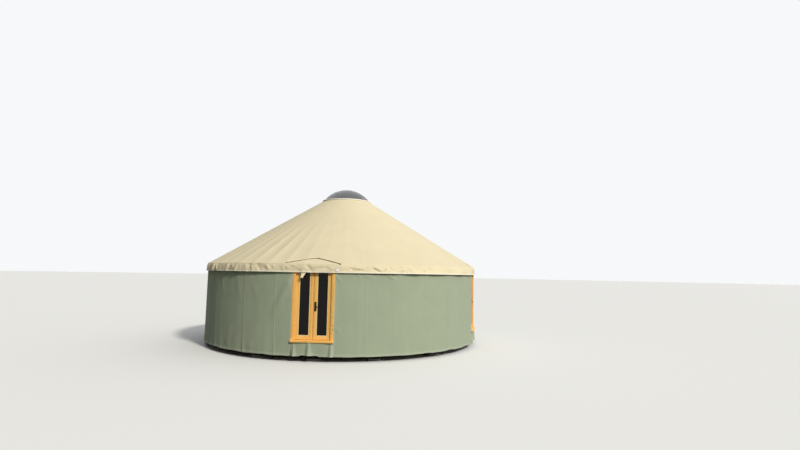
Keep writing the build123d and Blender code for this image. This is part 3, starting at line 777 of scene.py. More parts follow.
# Folds of the valance that the photo shows: from an azimuth in degrees and a share of the fall to another,
# then width and height in metres. A height under 0 is a hollow. Two factors scale all widths and heights.
FOLD_WIDTH, FOLD_HEIGHT = 0.85, 1.25
VALANCE_FOLDS = (
    ((-56.0, 0.05), (-57.0, 1.20), 0.050, 0.022),
    ((-48.0, 0.00), (-48.6, 1.30), 0.040, 0.034),
    ((-45.4, -0.10), (-43.9, 1.20), 0.040, 0.036),
    ((-37.6, 1.20), (-35.6, -0.05), 0.050, 0.028),
    ((-33.6, 0.10), (-33.2, 0.80), 0.050, 0.014),
    ((-31.8, 1.20), (-30.3, 0.05), 0.035, 0.026),
    ((-25.6, 0.00), (-24.0, 0.50), 0.045, -0.016),
    ((-25.4, 1.05), (-24.0, 0.42), 0.045, -0.013),
    ((-26.6, 0.10), (-26.2, 0.90), 0.050, 0.012),
    ((-23.6, 0.20), (-22.4, 1.30), 0.050, 0.012),
    ((-21.6, 0.00), (-18.6, 1.15), 0.055, -0.024),
    ((-20.4, 0.10), (-16.6, 0.95), 0.070, -0.012),
    ((-17.4, 0.15), (-15.6, 0.90), 0.040, 0.013),
    ((-14.9, 0.12), (-13.9, 0.62), 0.030, 0.010),
    ((-10.9, 0.02), (-10.8, 0.99), 0.020, 0.008),
    ((-9.6, 0.25), (-8.7, 0.65), 0.030, 0.010),
    ((-8.4, 0.20), (-5.6, 0.25), 0.030, 0.008),
    ((-7.2, 0.22), (-7.0, 0.65), 0.030, -0.007),
    ((-5.0, 0.20), (-4.9, 0.60), 0.030, -0.007),
    ((-4.6, 0.35), (-3.2, 1.30), 0.050, 0.010),
    ((-2.7, 0.12), (0.2, 1.20), 0.045, -0.026),
    ((6.0, 0.42), (-0.8, 0.60), 0.060, -0.014),
    ((7.0, 0.72), (1.0, 0.80), 0.060, 0.010),
    ((4.3, 0.30), (7.0, 0.68), 0.030, 0.010),
    ((9.2, 0.02), (9.1, 0.65), 0.020, 0.006),
    ((11.8, 0.45), (13.6, 0.72), 0.030, -0.014),
    ((16.6, 0.68), (13.2, 0.72), 0.030, -0.014),
    ((13.4, 0.40), (16.4, 0.40), 0.055, 0.010),
    ((19.2, 0.42), (22.9, 0.99), 0.035, -0.016),
    ((19.8, 0.22), (23.7, 0.75), 0.050, 0.011),
    ((25.2, 0.20), (23.4, 0.78), 0.035, 0.016),
    ((25.1, 0.18), (27.3, 0.88), 0.030, -0.014),
    ((26.5, 0.25), (25.8, 0.90), 0.040, 0.012),
    ((28.8, 0.40), (30.8, 0.25), 0.030, -0.010),
    ((31.4, 0.30), (29.3, 0.88), 0.035, 0.014),
    ((32.9, 0.25), (35.1, 0.92), 0.040, 0.015),
    ((40.2, 0.22), (38.3, 0.82), 0.035, 0.012),
    ((40.8, 0.28), (43.7, 0.88), 0.035, -0.011),
    ((46.6, 0.35), (50.2, 0.90), 0.050, 0.006),
)
# Stretches where the hem stands out: azimuth and half width in degrees, and how far in metres.
HEM_WAVES = (
    (0, 11, -0.026),
    (82, 9, -0.030),
    (-50, 8, 0.012),
    (-25, 6, 0.014),
    (-14, 3, 0.008),
    (25.2, 3, 0.018),
    (35.3, 3, 0.040),
    (44.5, 4.5, 0.032),
    (59.3, 3, 0.026),
    (70, 3, 0.020),
    (118, 5, 0.020),
    (170, 6, 0.016),
    (-140, 6, 0.018),
    (-100, 6, 0.014),
)


def valance_folds(azimuth, fall, sizes):
    """How far the valance stands out at an azimuth and a share of its fall.

    It is the sum of a flare, of the folds listed above, of crumpled pillows that are deep on the left and
    shallow elsewhere, and of the hem's outward waves. Flare and waves begin at the eave, and the pillows
    are low there and in the stiff hem. Hollows end softly at the wall: limit (e^(depth / limit) - 1).
    """
    around = signed(azimuth)
    turn = np.degrees(around)
    drop = sizes.crease_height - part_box("roof_canvas_1")[0].z
    total = 0.006 * ease(fall / 0.35) + 0.010 * ease((fall - 0.76) / 0.24)
    for start, end, width, size in VALANCE_FOLDS:
        ends = [(radians(place) * sizes.crease_radius, share * drop) for place, share in (start, end)]
        fold = fold_line(around * sizes.crease_radius, fall * drop, *ends, FOLD_WIDTH * width)
        total = total + FOLD_HEIGHT * size * fold
    crumpled = 0.60 * pillows(azimuth, fall, 11, 178, 3.0) + 0.40 * pillows(azimuth, fall, 21, 331, 5.0)
    uneven = 0.16 * ripple(azimuth, fall, 41, 4, (3, 9), 0) * (np.abs(turn) > 60)
    amount = 0.18 + 0.50 * window(turn, -120, -34, 30) + uneven
    swell = np.sin(pi * np.clip(fall * 0.92 + 0.04, 0, 1)) ** 0.7 * (1 - ease((fall - 0.74) / 0.2) * 0.75)
    waves = 0.10 * sizes.fold_depth * (ripple(azimuth, 0 * fall, 51, 6, (31, 66), 0) + 1)
    for centre, half, size in HEM_WAVES:
        waves = waves + size * np.exp(-(((turn - centre) / half) ** 2))
    total = total + sizes.fold_depth * swell * amount * crumpled + waves * ease((fall - 0.3) / 0.7)
    limit = 0.005 + 0.014 * fall
    return np.where(total < 0, limit * np.expm1(np.minimum(total, 0) / limit), total)


def between_rafters(azimuth, rafters):
    """How deep the flat between two rafters lies in their circle, as a share of it, and the shape of a sag.

    The depth is 1 - cos(half bay) / cos(azimuth from the flat's middle). The sag's shape is 0 at a rafter
    and 1 midway.
    """
    bay = 2 * pi / rafters
    from_middle = 0.5 - np.abs(0.5 - (azimuth / bay) % 1)
    return 1 - cos(bay / 2) / np.cos(from_middle * bay), 1 - (2 * from_middle) ** 2


def roof_surface(sizes, azimuth):
    """The roof cloth's outer face over all the profile's rows, at the given azimuths.

    Each point is the profile's, moved along its normal: in by the flat between two rafters and by a sag that
    grows towards the eave, and out by the valance's folds and small leaning ripples. The cloth is drawn
    tight at the front right, and looser all round from there.
    """
    radius, height, normal, distance, drop = roof_profile(sizes)
    radius, height, distance, azimuth = radius[:, None], height[:, None], distance[:, None], azimuth[None]
    flat, dip = between_rafters(azimuth, sizes.rafters)
    loose = 1 - 0.84 * window(np.degrees(signed(azimuth)), 6, 76, 28)
    grown = ease((radius - 1.6) / 2.6) * loose
    on_cone = distance < 0
    fall = np.clip(distance / drop, 0, 1)
    held = 0.25 + 0.75 * (1 - np.exp(-np.abs(distance) / 0.09))
    sag = sizes.rafter_sag * dip * held * np.where(on_cone, grown, loose * np.exp(-fall * 5))
    gathers = 0.16 * sizes.fold_depth * loose * pillows(azimuth, 0 * fall, 11, 178, 0)
    gathers = gathers * np.exp(np.minimum(distance, 0) / 0.07)
    folds = np.where(on_cone, gathers, valance_folds(azimuth, fall, sizes))
    soft = 0.0026 * ripple(azimuth, distance, 61, 10, (7, 60), 3.0)
    soft = soft * (radius / sizes.crease_radius) ** 2.5 * loose
    out = folds + soft - sag - radius * flat * (0.05 + 0.95 * grown) * normal[:, :1]
    return polar(azimuth, radius + normal[:, :1] * out, height + normal[:, 1:] * out), distance


class YURT_OT_roof_canvas(Operator):
    """Makes the roof and valance, in gores that meet on their seams"""

    bl_idname = "yurt.roof_canvas"
    bl_label = "Roof canvas"

    binding_radius = 0.019
    tab_azimuth, tag_azimuth = radians(-3.25), radians(7.9)
    tab_width, tab_length = 0.130, 0.240
    tag_width, tag_length, tag_thickness, tag_clearance = 0.085, 0.066, 0.0015, 0.011

    def execute(self, context):
        sizes, colours = context.scene.yurt_sizes, context.scene.yurt_colours
        # The hem and the seams get a painted highlight of 0.9 and 0.04.
        self.material = canvas_material("acrylic_coated_roof_canvas", colours.roof, 0.9, 0.04, 0.06, 0.16)
        self.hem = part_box("roof_canvas_1")[0].z
        span = 2 * pi / GORES
        trims = self.binding(), self.tab(sizes), self.tag(sizes)
        for obj in trims:
            for edge in ("seam", "hem"):
                mark(obj, edge, np.ones(len(obj.data.vertices)))
        for i in range(GORES):
            start = (i - 0.5) * span
            azimuth = np.linspace(start, start + span, GORE_COLUMNS)
            points, distance = roof_surface(sizes, azimuth)
            form = Form()
            form.grid(points, stacked(azimuth * sizes.crease_radius, distance), flip=True)
            name = f"roof_canvas_{i + 1}"
            obj = form.piece(
                f"cloth_{name}", self.material, slot="roof_canvas", replaces=[name], uv_name=SHEET_UV
            )
            share = np.minimum(azimuth - start, start + span - azimuth)
            mark(obj, "seam", share * np.hypot(points[..., 0], points[..., 1]))
            mark(obj, "hem", np.broadcast_to(distance.max() - distance, points.shape[:2]))
            thicken(obj, sizes.cloth_thickness)
            self.declare(obj, sizes, distance, span, () if i else trims)
        return {"FINISHED"}

    def binding(self):
        """A rolled tape round the crown's edge: a small circle carried along a large one."""
        crown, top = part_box("crown_ring")[1].x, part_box("roof_canvas_1")[1].z
        out = 0.7 * self.binding_radius
        centres = ring_route(crown + out, top + out, 144)
        ring = Form()
        ring.sweep(circle(self.binding_radius, 10), centres, (0, 0, 1), closed=True)
        white = canvas_material("white_binding_tape", linear("#FFFCF0"), 0.0, 0.0, 0.05, 0.0)
        return ring.piece("cloth_crown_binding", white, slot="roof_canvas", uv_name=SHEET_UV)

    def tab(self, sizes):
        """A tie tab that hangs over the door from under the hem.

        It narrows smoothly to less than half its width. It leans aside and swings outwards with the share of
        its length to the power of 1.5, and a cosine cups it across.
        """
        across, down = np.linspace(-1, 1, 13)[None], np.linspace(0, 1, 19)[:, None]
        narrowing = 1 - 0.55 * ease((down - 0.35) / 0.65)
        lean = self.tab_azimuth - 0.012 * down**1.5
        azimuth = lean + self.tab_width / 2 / sizes.valance_radius * narrowing * across
        radius = sizes.valance_radius - 0.046 + 0.008 * np.cos(1.6 * across + 1.2 * down) + 0.070 * down**1.5
        points = polar(azimuth, radius, self.hem + 0.10 - self.tab_length * down - 0.012 * across * down)
        uvs = stacked(across * self.tab_width / 2, -self.tab_length * down)
        return self.flap("cloth_tie_tab", self.material, points, uvs, sizes.cloth_thickness)

    def tag(self, sizes):
        """A plain tag that lies just off the valance: a patch of the valance's cone, cupped by a cosine."""
        across, down = np.linspace(-1, 1, 13)[None], np.linspace(0, 1, 19)[:, None]
        height = self.hem + 0.105 - self.tag_length * down
        share = (sizes.crease_height - height) / (sizes.crease_height - self.hem)
        radius = sizes.crease_radius + (sizes.valance_radius - sizes.crease_radius) * share
        radius = radius + self.tag_clearance + 0.002 * np.cos(3 * across + 2 * down)
        azimuth = self.tag_azimuth + self.tag_width / 2 / sizes.valance_radius * across
        points = polar(azimuth, radius, height)
        uvs = stacked(across * self.tag_width / 2, -self.tag_length * down)
        plain = canvas_material("plain_white_tape", linear("#FBF2EE"), 0.0, 0.0, 0.05, 0.0)
        return self.flap("cloth_plain_tag", plain, points, uvs, self.tag_thickness)

    def flap(self, name, material, points, uvs, thickness):
        """A small sheet that is sewn to the roof, from a grid of points."""
        form = Form()
        form.grid(points, uvs, flip=True)
        obj = form.piece(name, material, slot="roof_canvas", uv_name=SHEET_UV)
        thicken(obj, thickness)
        return obj

    def declare(self, obj, sizes, distance, span, trims):
        """Does nothing with the gore, which is a sixth of the cone and of the valance."""


# Wall cloth


def wall_heights():
    """Heights of the wall cloth's hem and top."""
    return [corner.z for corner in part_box("wall_canvas_back")]


def wall_radius():
    """Radius of the wall cloth's outer face, from the arc of it that crosses the X axis."""
    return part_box("wall_canvas_back_right")[1].x


def door_half_angle():
    """Half the angle that a door frame takes of the wall's circle: asin(half its width / radius)."""
    return asin(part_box("front_door_frame")[1].x / wall_radius())


def wall_joints():
    """Azimuths where the wall's arcs meet: the side door's middle, then evenly on to the front door's."""
    return np.linspace(DOORS["side"], 2 * pi, len(WALL_ARCS))


def wall_arcs():
    """Name, start and stop of each of the wall's arcs, which leave the doorways free."""
    half, joints = door_half_angle(), wall_joints()
    starts = (half, joints[0] + half, *joints[1:-1])
    stops = (joints[0] - half, *joints[1:-1], joints[-1] - half)
    return zip(WALL_ARCS, starts, stops)


def wall_seams(sizes):
    """Azimuths of the wall's felled seams, as they show left and right of the front door."""
    clear = door_half_angle() + 0.05
    left = radians(-13.5) - np.arange(20) * sizes.seam_spacing
    right = radians(17.8) + np.arange(3) * 2 * sizes.seam_spacing
    return np.concatenate((left[left > DOORS["side"] + clear - 2 * pi], right[right < DOORS["side"] - clear]))


def wall_columns(start, stop, seams, step, half):
    """Evenly spaced azimuths, with more of them over each seam so that its ridge has real edges."""
    even = np.linspace(start, stop, ceil((stop - start) / step) + 1)
    close = (seams[:, None] + np.array((-1.25, -1, 0, 1, 1.25)) * half).ravel()
    close = close[(close > start + half) & (close < stop - half)]
    clear = [a for a in even[1:-1] if np.abs(close - a).min(initial=pi) > half * 0.4]
    return np.sort(np.concatenate((even[:1], clear, even[-1:], close)))


# Drag folds beside the front door: its right side is 1 and its left -1. Then, in metres, how far from the
# door's edge and how high a fold starts and ends, its width and its height. A height under 0 is a hollow.
# Two factors scale all widths and heights.
DRAG_WIDTH, DRAG_HEIGHT = 1.6, 1.2
WALL_DRAGS = (
    (-1, (-0.02, 2.26), (0.66, 1.00), 0.070, 0.026),
    (-1, (0.06, 1.60), (0.30, 0.95), 0.050, -0.010),
    (-1, (0.32, 2.34), (1.00, 0.95), 0.080, -0.014),
    (1, (0.00, 2.30), (0.22, 2.02), 0.016, 0.008),
    (1, (0.03, 2.24), (0.16, 2.10), 0.010, 0.006),
    (1, (0.00, 0.95), (0.25, 0.70), 0.020, 0.006),
    (1, (0.62, 2.36), (0.66, 2.16), 0.014, 0.008),
    (1, (0.70, 2.34), (1.15, 2.12), 0.020, 0.006),
    (1, (1.32, 2.37), (1.70, 2.16), 0.016, 0.018),
    (1, (1.42, 2.36), (1.80, 2.20), 0.016, -0.008),
    (-1, (1.35, 2.30), (1.05, 1.45), 0.065, 0.005),
    (-1, (1.95, 2.32), (1.62, 1.30), 0.065, 0.004),
    (-1, (1.34, 0.20), (0.98, 1.05), 0.075, 0.008),
    (-1, (2.34, 0.20), (1.98, 0.95), 0.075, 0.009),
    (-1, (2.75, 2.30), (2.40, 1.40), 0.060, 0.005),
)


def wall_relief(sizes, azimuth, height):
    """How far the wall cloth stands out from its circle at each azimuth and height.

    Long soft waves all over, shorter ones that die away above the hem and below the eave, drag folds beside
    the front door, and a pucker at the foot of each seam on the left. All are weaker at hem and eave.
    """
    low, high = wall_heights()
    turn = signed(azimuth)
    across = turn * sizes.crease_radius
    long_waves = ripple(azimuth, height, 71, 9, (9, 34), 0.5)
    short = ripple(azimuth, height, 81, 12, (40, 120), 1.2)
    near_hem, near_top = np.exp(-(height - low) / 0.22), np.exp(-(high - height) / 0.35)
    relief = sizes.wall_sway * (0.55 * long_waves + short * (0.10 + 0.35 * near_hem + 0.15 * near_top))
    door = sizes.crease_radius * door_half_angle()
    for side, start, end, width, size in WALL_DRAGS:
        ends = [(side * (door + out), up) for out, up in (start, end)]
        relief = relief + DRAG_HEIGHT * size * fold_line(across, height, *ends, DRAG_WIDTH * width)
    for seam in wall_seams(sizes):
        if -3.2 < seam < 0:
            away = signed(turn - seam) * sizes.crease_radius
            pucker = np.exp(-(((away - 0.03) / 0.035) ** 2)) - 0.5 * np.exp(-(((away + 0.05) / 0.05) ** 2))
            relief = relief + 0.014 * pucker * np.exp(-(height - low) / 0.20)
    below, under = ease(14 * (height - low) / (high - low) + 0.55), ease((high - height) / 0.13)
    return relief * below * (0.15 + 0.85 * under)


class YURT_OT_wall_canvas(Operator):
    """Makes the wall cloth in its five arcs, and the skirts below the doors"""

    bl_idname = "yurt.wall_canvas"
    bl_label = "Wall canvas"

    column_step, row_step = 0.022, 0.034
    wall_reach, skirt_reach = 0.036, 0.060
    skirt_tuck = 0.060

    def execute(self, context):
        sizes, colours = context.scene.yurt_sizes, context.scene.yurt_colours
        # The hem, the doorways' edges and the seams get a painted highlight of 0.30 and 0.04.
        self.material = canvas_material("sage_wall_canvas", colours.wall, 0.30, 0.04, 0.16, 0.0)
        self.seams, self.radius, self.half_door = wall_seams(sizes), wall_radius(), door_half_angle()
        low, high = wall_heights()
        for name, start, stop in wall_arcs():
            self.sheet(sizes, name, f"wall_canvas_{name}", start, stop, low, high)
        for name, azimuth in DOORS.items():
            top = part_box(f"{name}_door_sill")[1].z - self.skirt_tuck
            start, stop = azimuth - self.half_door, azimuth + self.half_door
            self.sheet(sizes, name, f"{name}_skirt", start, stop, low, top)
        return {"FINISHED"}

    def sheet(self, sizes, name, node, start, stop, low, high):
        """An arc of cloth: the circle moved out by its relief, a doubled hem and a ridge on each seam."""
        half_seam = sizes.seam_width / 2 / self.radius
        middle = (start + stop) / 2
        seams = middle + signed(self.seams - middle)
        seams = seams[(seams > start - half_seam) & (seams < stop + half_seam)]
        azimuth = wall_columns(start, stop, seams, self.column_step / self.radius, half_seam)
        band = np.array((0, 0.010, 0.022, 0.034, sizes.hem_width, sizes.hem_width + 0.003))
        rows = max(10, ceil((high - low) / self.row_step))
        above = np.linspace(sizes.hem_width + 0.03, high - low, rows)
        rise = np.concatenate((band, above))[:, None]
        uneven = 0.005 * ripple(azimuth[None], 0 * rise, 91, 8, (15, 70), 0) * np.exp(-rise / 0.15)
        height = low + rise + np.maximum(uneven, -0.004)
        skirt = node.endswith("skirt")
        if skirt:
            lifted = window(np.degrees(signed(azimuth - middle)), -3.2, 1.6, 1.2)
            height = height + 0.030 * lifted * np.exp(-rise / 0.12)
        relief = wall_relief(sizes, azimuth[None], height)
        if skirt:
            relief = relief * 0.4 + self.skirt_folds(azimuth - middle, height, low, high)
        gap = np.abs(azimuth[:, None] - seams).min(axis=1, initial=1.0)
        ridge, doubled = 0.0012 * (gap <= half_seam * 1.01), 0.0018 * (rise <= sizes.hem_width)
        out = np.clip(relief, -0.003, self.skirt_reach if skirt else self.wall_reach) + ridge + doubled
        if name == "front_right":
            out = out + self.pushed_out((stop - azimuth) * self.radius, height - low)
        slit = 0.024 * (1 - rise / (high - low)) * np.exp(-(azimuth - start) * self.radius / 0.05) * skirt
        points = polar(azimuth + slit / self.radius, self.radius + out, height)
        form = Form()
        form.grid(points, stacked(azimuth * self.radius, height))
        obj = form.piece(
            f"cloth_{node}", self.material, slot="wall_canvas", replaces=[node], uv_name=SHEET_UV
        )
        mark(obj, "seam", np.broadcast_to(gap * self.radius, points.shape[:2]))
        # The hem's distance also counts from the doorways' edges, so the painted highlight runs up them too.
        mark(obj, "hem", np.minimum(rise, self.from_doors(azimuth)))
        thicken(obj, sizes.cloth_thickness)

    def pushed_out(self, aside, up):
        """A bulge beside the side door, its top 10 cm off the hem: e^-(distance / width)^2 across and up."""
        return 0.055 * np.exp(-((aside / 0.07) ** 2)) * np.exp(-(((up - 0.10) / 0.08) ** 2))

    def from_doors(self, azimuth):
        """Distance from the nearest edge of a doorway."""
        ends = [door + side * self.half_door for door in DOORS.values() for side in (-1, 1)]
        return np.min([np.abs(signed(azimuth - end)) for end in ends], axis=0) * self.radius

    def skirt_folds(self, turn, height, low, high):
        """Three upright folds, wider towards the hem, a hollow on the left of each, and shallow waves.

        A fold is e^-(distance / spread)^2, less about a third of the same 1.5 spreads to its left. The waves
        are a sine across that fades upwards.
        """
        across = turn * self.radius
        share = np.clip((height - low) / (high - low), 0, 1)
        folds = -0.004 * np.sin(across * 9.0) * (1 - share)
        for centre, width, size in ((-0.49, 0.045, 0.045), (-0.08, 0.060, 0.060), (0.51, 0.045, 0.045)):
            spread = width * (1.4 - 0.9 * share)
            bright, dark = (across - centre) / spread, (across - centre + 1.5 * spread) / spread
            folds = folds + size * (1 - 0.7 * share) * (np.exp(-(bright**2)) - 0.35 * np.exp(-(dark**2)))
        return folds


# Rain strips


class YURT_OT_rain_strips(Operator):
    """Makes the padded V on the roof over each doorway"""

    bl_idname = "yurt.rain_strips"
    bl_label = "Rain strips"

    left_end, right_end, tip_x = radians(-9.9), radians(9.0), 0.020
    left_setback, right_setback, tip_setback = 0.030, 0.004, 0.027
    width, height, lap = 0.034, 0.011, 0.006
    piping_radius, piping_gap = 0.011, 0.004
    stations = 97
    tip_bend = 0.02

    def execute(self, context):
        sizes, colours = context.scene.yurt_sizes, context.scene.yurt_colours
        strip = canvas_material("rolled_canvas_strip", colours.roof, 0.0, 0.0, 0.10, 0.10)
        # The dark piping is partly painted shadow: it darkens the line where the strip's shadow falls on the
        # roof.
        piping_shadow_finish = canvas_material("brown_piping_painted_shadow", linear("#5A4226"), 0.0, 0.0, 0.10, 0.0)
        strips, piping = Form(), Form()
        for name, azimuth in DOORS.items():
            self.strip(sizes, strips, azimuth)
            if name == "front":
                self.piping(sizes, piping, azimuth)
        rolls = strips.piece(
            "canvas_rain_strips", strip, slot="roof_canvas", replaces=["rain_strips"], uv_name=SHEET_UV
        )
        piping.piece("canvas_rain_strip_piping_and_shadow", piping_shadow_finish, slot="roof_canvas", uv_name=SHEET_UV)
        return {"FINISHED"}

    def route(self, sizes, azimuth, reach, lift):
        """Points and normals along the V on the roof, moved outwards by reach and off the cloth by lift.

        In plan each leg is a straight line from the tip to its end, by a share sqrt(s^2 + b^2) that rounds
        the tip.
        """
        share = np.linspace(-1, 1, self.stations)
        full = sqrt(1 + self.tip_bend**2) - self.tip_bend
        soft = (np.sqrt(share**2 + self.tip_bend**2) - self.tip_bend) / full
        left = polar(self.left_end, sizes.crease_radius - self.left_setback, 0)[:2]
        right = polar(self.right_end, sizes.crease_radius - self.right_setback, 0)[:2]
        tip = np.array((self.tip_x, sizes.strip_reach + self.tip_setback - sizes.crease_radius))
        plan = tip + soft[:, None] * (np.where(share[:, None] < 0, left, right) - tip)
        slope = roof_slope(sizes)
        bearing = np.arctan2(plan[:, 0], -plan[:, 1]) + azimuth
        radius = np.hypot(plan[:, 0], plan[:, 1]) + reach
        flat = 0.16 * radius * between_rafters(bearing, sizes.rafters)[0]
        height = sizes.crease_height + (sizes.crease_radius - radius - flat) * tan(slope)
        normal = polar(bearing, sin(slope), cos(slope))
        return share, polar(bearing, radius, height) + lift * normal, normal

    def strip(self, sizes, form, azimuth):
        """A low half-round roll, tapered at both ends: the arch (width / 2 cos t, height sin(t)^0.8)."""
        _, centres, normal = self.route(sizes, azimuth, 0.0, 0.0)
        turn = np.linspace(0, pi, 9)
        arch = np.stack((self.width / 2 * np.cos(turn), self.height * np.sin(turn) ** 0.8), axis=1)
        outline = np.vstack((arch, (-self.width / 2, -self.lap), (self.width / 2, -self.lap)))
        from_end = np.minimum(np.arange(self.stations), np.arange(self.stations)[::-1])
        form.sweep(outline, centres, normal, sizes=np.minimum(1, 0.35 + from_end * 0.25))

    def piping(self, sizes, form, azimuth):
        """Piping along the strip's lower side, partly painted shadow: its dark cord darkens the line where
        the strip's shadow falls. It is thinner on the left leg, which lies in less shade, and begins there in
        a knot.
        """
        reach = self.width / 2 + self.piping_gap
        share, centres, normal = self.route(sizes, azimuth, reach, self.piping_radius * 0.5)
        # The left leg is drawn thinner as painted shade: it lies in less shadow.
        places = (-1, -0.985, -0.97, 0, 0.06, 0.99, 1)
        thick = np.interp(share, places, (0.9, 1.35, 0.46, 0.42, 1.0, 1.0, 0.5))
        form.sweep(circle(self.piping_radius, 10), centres, normal, sizes=thick)


# Doors


class YURT_OT_doors(Operator):
    """Makes the frames, sills, leaves and glass of both doorways"""

    bl_idname = "yurt.doors"
    bl_label = "Doors"

    gap = 0.005
    stop_width, stop_setback = 0.012, 0.001
    nose_depth, nose_cut = 0.060, 0.012
    bead_width, bead_depth, bead_ease = 0.020, 0.012, 0.002
    beyond_pane = 0.008

    def execute(self, context):
        sizes, colours = context.scene.yurt_sizes, context.scene.yurt_colours
        self.ease = sizes.board_ease
        self.wood = timber_material("oiled_knotty_pine", colours.pine, colours.pine_dark, 0.34, 0.42)
        # The beads are drawn paler than the stiles.
        self.pale = timber_material("oiled_pale_beads", linear("#FFE4A6"), linear("#F4C97E"), 0.0, 0.36)
        glass = glass_material()
        for name, azimuth in DOORS.items():
            self.frame(name, azimuth)
            self.sill(name, azimuth)
            for side in ("right", "left"):
                self.leaf(name, side, azimuth)
                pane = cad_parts[f"{name}_{side}_pane"]
                pane.data.materials.clear()
                pane.data.materials.append(glass)
        return {"FINISHED"}

    def frame(self, name, azimuth):
        """Jambs and head as boards, with the stop planted on their inner faces."""
        low, high = map(np.array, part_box("front_door_frame"))
        leaf_low, leaf_high = map(np.array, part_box("front_right_leaf"))
        opening, head = leaf_high[0] + self.gap, leaf_high[2] + self.gap
        inner, front, back = opening - self.stop_width, low[1] + self.stop_setback, leaf_low[1] - self.gap
        boards = (
            ((opening, low[1], low[2]), high, 2),
            ((-high[0], low[1], low[2]), (-opening, high[1], high[2]), 2),
            ((-opening, low[1], head), (opening, high[1], high[2]), 0),
            ((inner, front, low[2]), (opening, back, head), 2),
            ((-opening, front, low[2]), (-inner, back, head), 2),
            ((-inner, front, head - self.stop_width), (inner, back, head), 0),
        )
        form = Form()
        form.boards(boards, self.ease, 1)
        form.turned(azimuth)
        node = f"{name}_door_frame"
        form.piece(f"timber_{node}", self.wood, slot="door_wood", replaces=[node], sharp=radians(40))

    def sill(self, name, azimuth):
        """A deep board along the doorway whose nose overhangs the skirt, its upper front edge cut back."""
        low, high = map(np.array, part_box("front_door_sill"))
        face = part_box("front_door_frame")[0].y
        cut, nose = self.nose_cut, high[2] - self.nose_depth
        y = (high[1], high[1], low[1] + cut, low[1], low[1], face, face)
        z = (low[2], high[2], high[2], high[2] - cut, nose, nose, low[2])
        outline = stacked(y, z)
        middle = outline.mean(axis=0)
        form = Form()
        form.sweep(outline - middle, stacked((low[0], high[0]), *middle), (0, 0, 1), shift=(0.4, 2.0))
        form.turned(azimuth)
        node = f"{name}_door_sill"
        obj = form.piece(f"timber_{node}", self.wood, slot="door_wood", replaces=[node], sharp=radians(30))
        ease_edges(obj, self.ease, 2)

    def leaf(self, name, side, azimuth):
        """Two stiles and two rails round the glass, with a small square bead against it on both faces."""
        low, high = map(np.array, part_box("front_right_leaf"))
        pane_low, pane_high = map(np.array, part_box("front_right_pane"))
        hole = pane_low - self.beyond_pane, pane_high + self.beyond_pane
        light = hole[0] + self.bead_width, hole[1] - self.bead_width
        number = 7 if side == "right" else 17
        timber, beads = Form(), Form()
        self.surround(timber, (low, high), hole, low[1], high[1], self.ease, number)
        for face, away in ((pane_low[1], -self.bead_depth), (pane_high[1], self.bead_depth)):
            self.surround(beads, hole, light, face, face + away, self.bead_ease, number + 4)
        body, node = f"{name}_{side}_door", f"{name}_{side}_leaf"
        for form, wood, label in ((timber, self.wood, "timber"), (beads, self.pale, "beads")):
            if side == "left":
                form.mirrored()
            form.turned(azimuth)
            form.piece(
                f"{label}_{node}", wood, body=body, slot="door_wood", replaces=[node], sharp=radians(40)
            )

    def surround(self, form, outer, inner, front, back, ease_radius, number):
        """Boards between two boxes seen from the front: left and right in full height, two rails between."""
        (left, _, bottom), (right, _, top) = outer
        (in_left, _, in_bottom), (in_right, _, in_top) = inner
        boards = (
            ((left, front, bottom), (in_left, back, top), 2),
            ((in_right, front, bottom), (right, back, top), 2),
            ((in_left, front, bottom), (in_right, back, in_bottom), 0),
            ((in_left, front, in_top), (in_right, back, top), 0),
        )
        form.boards(boards, ease_radius, number)


# Door furniture


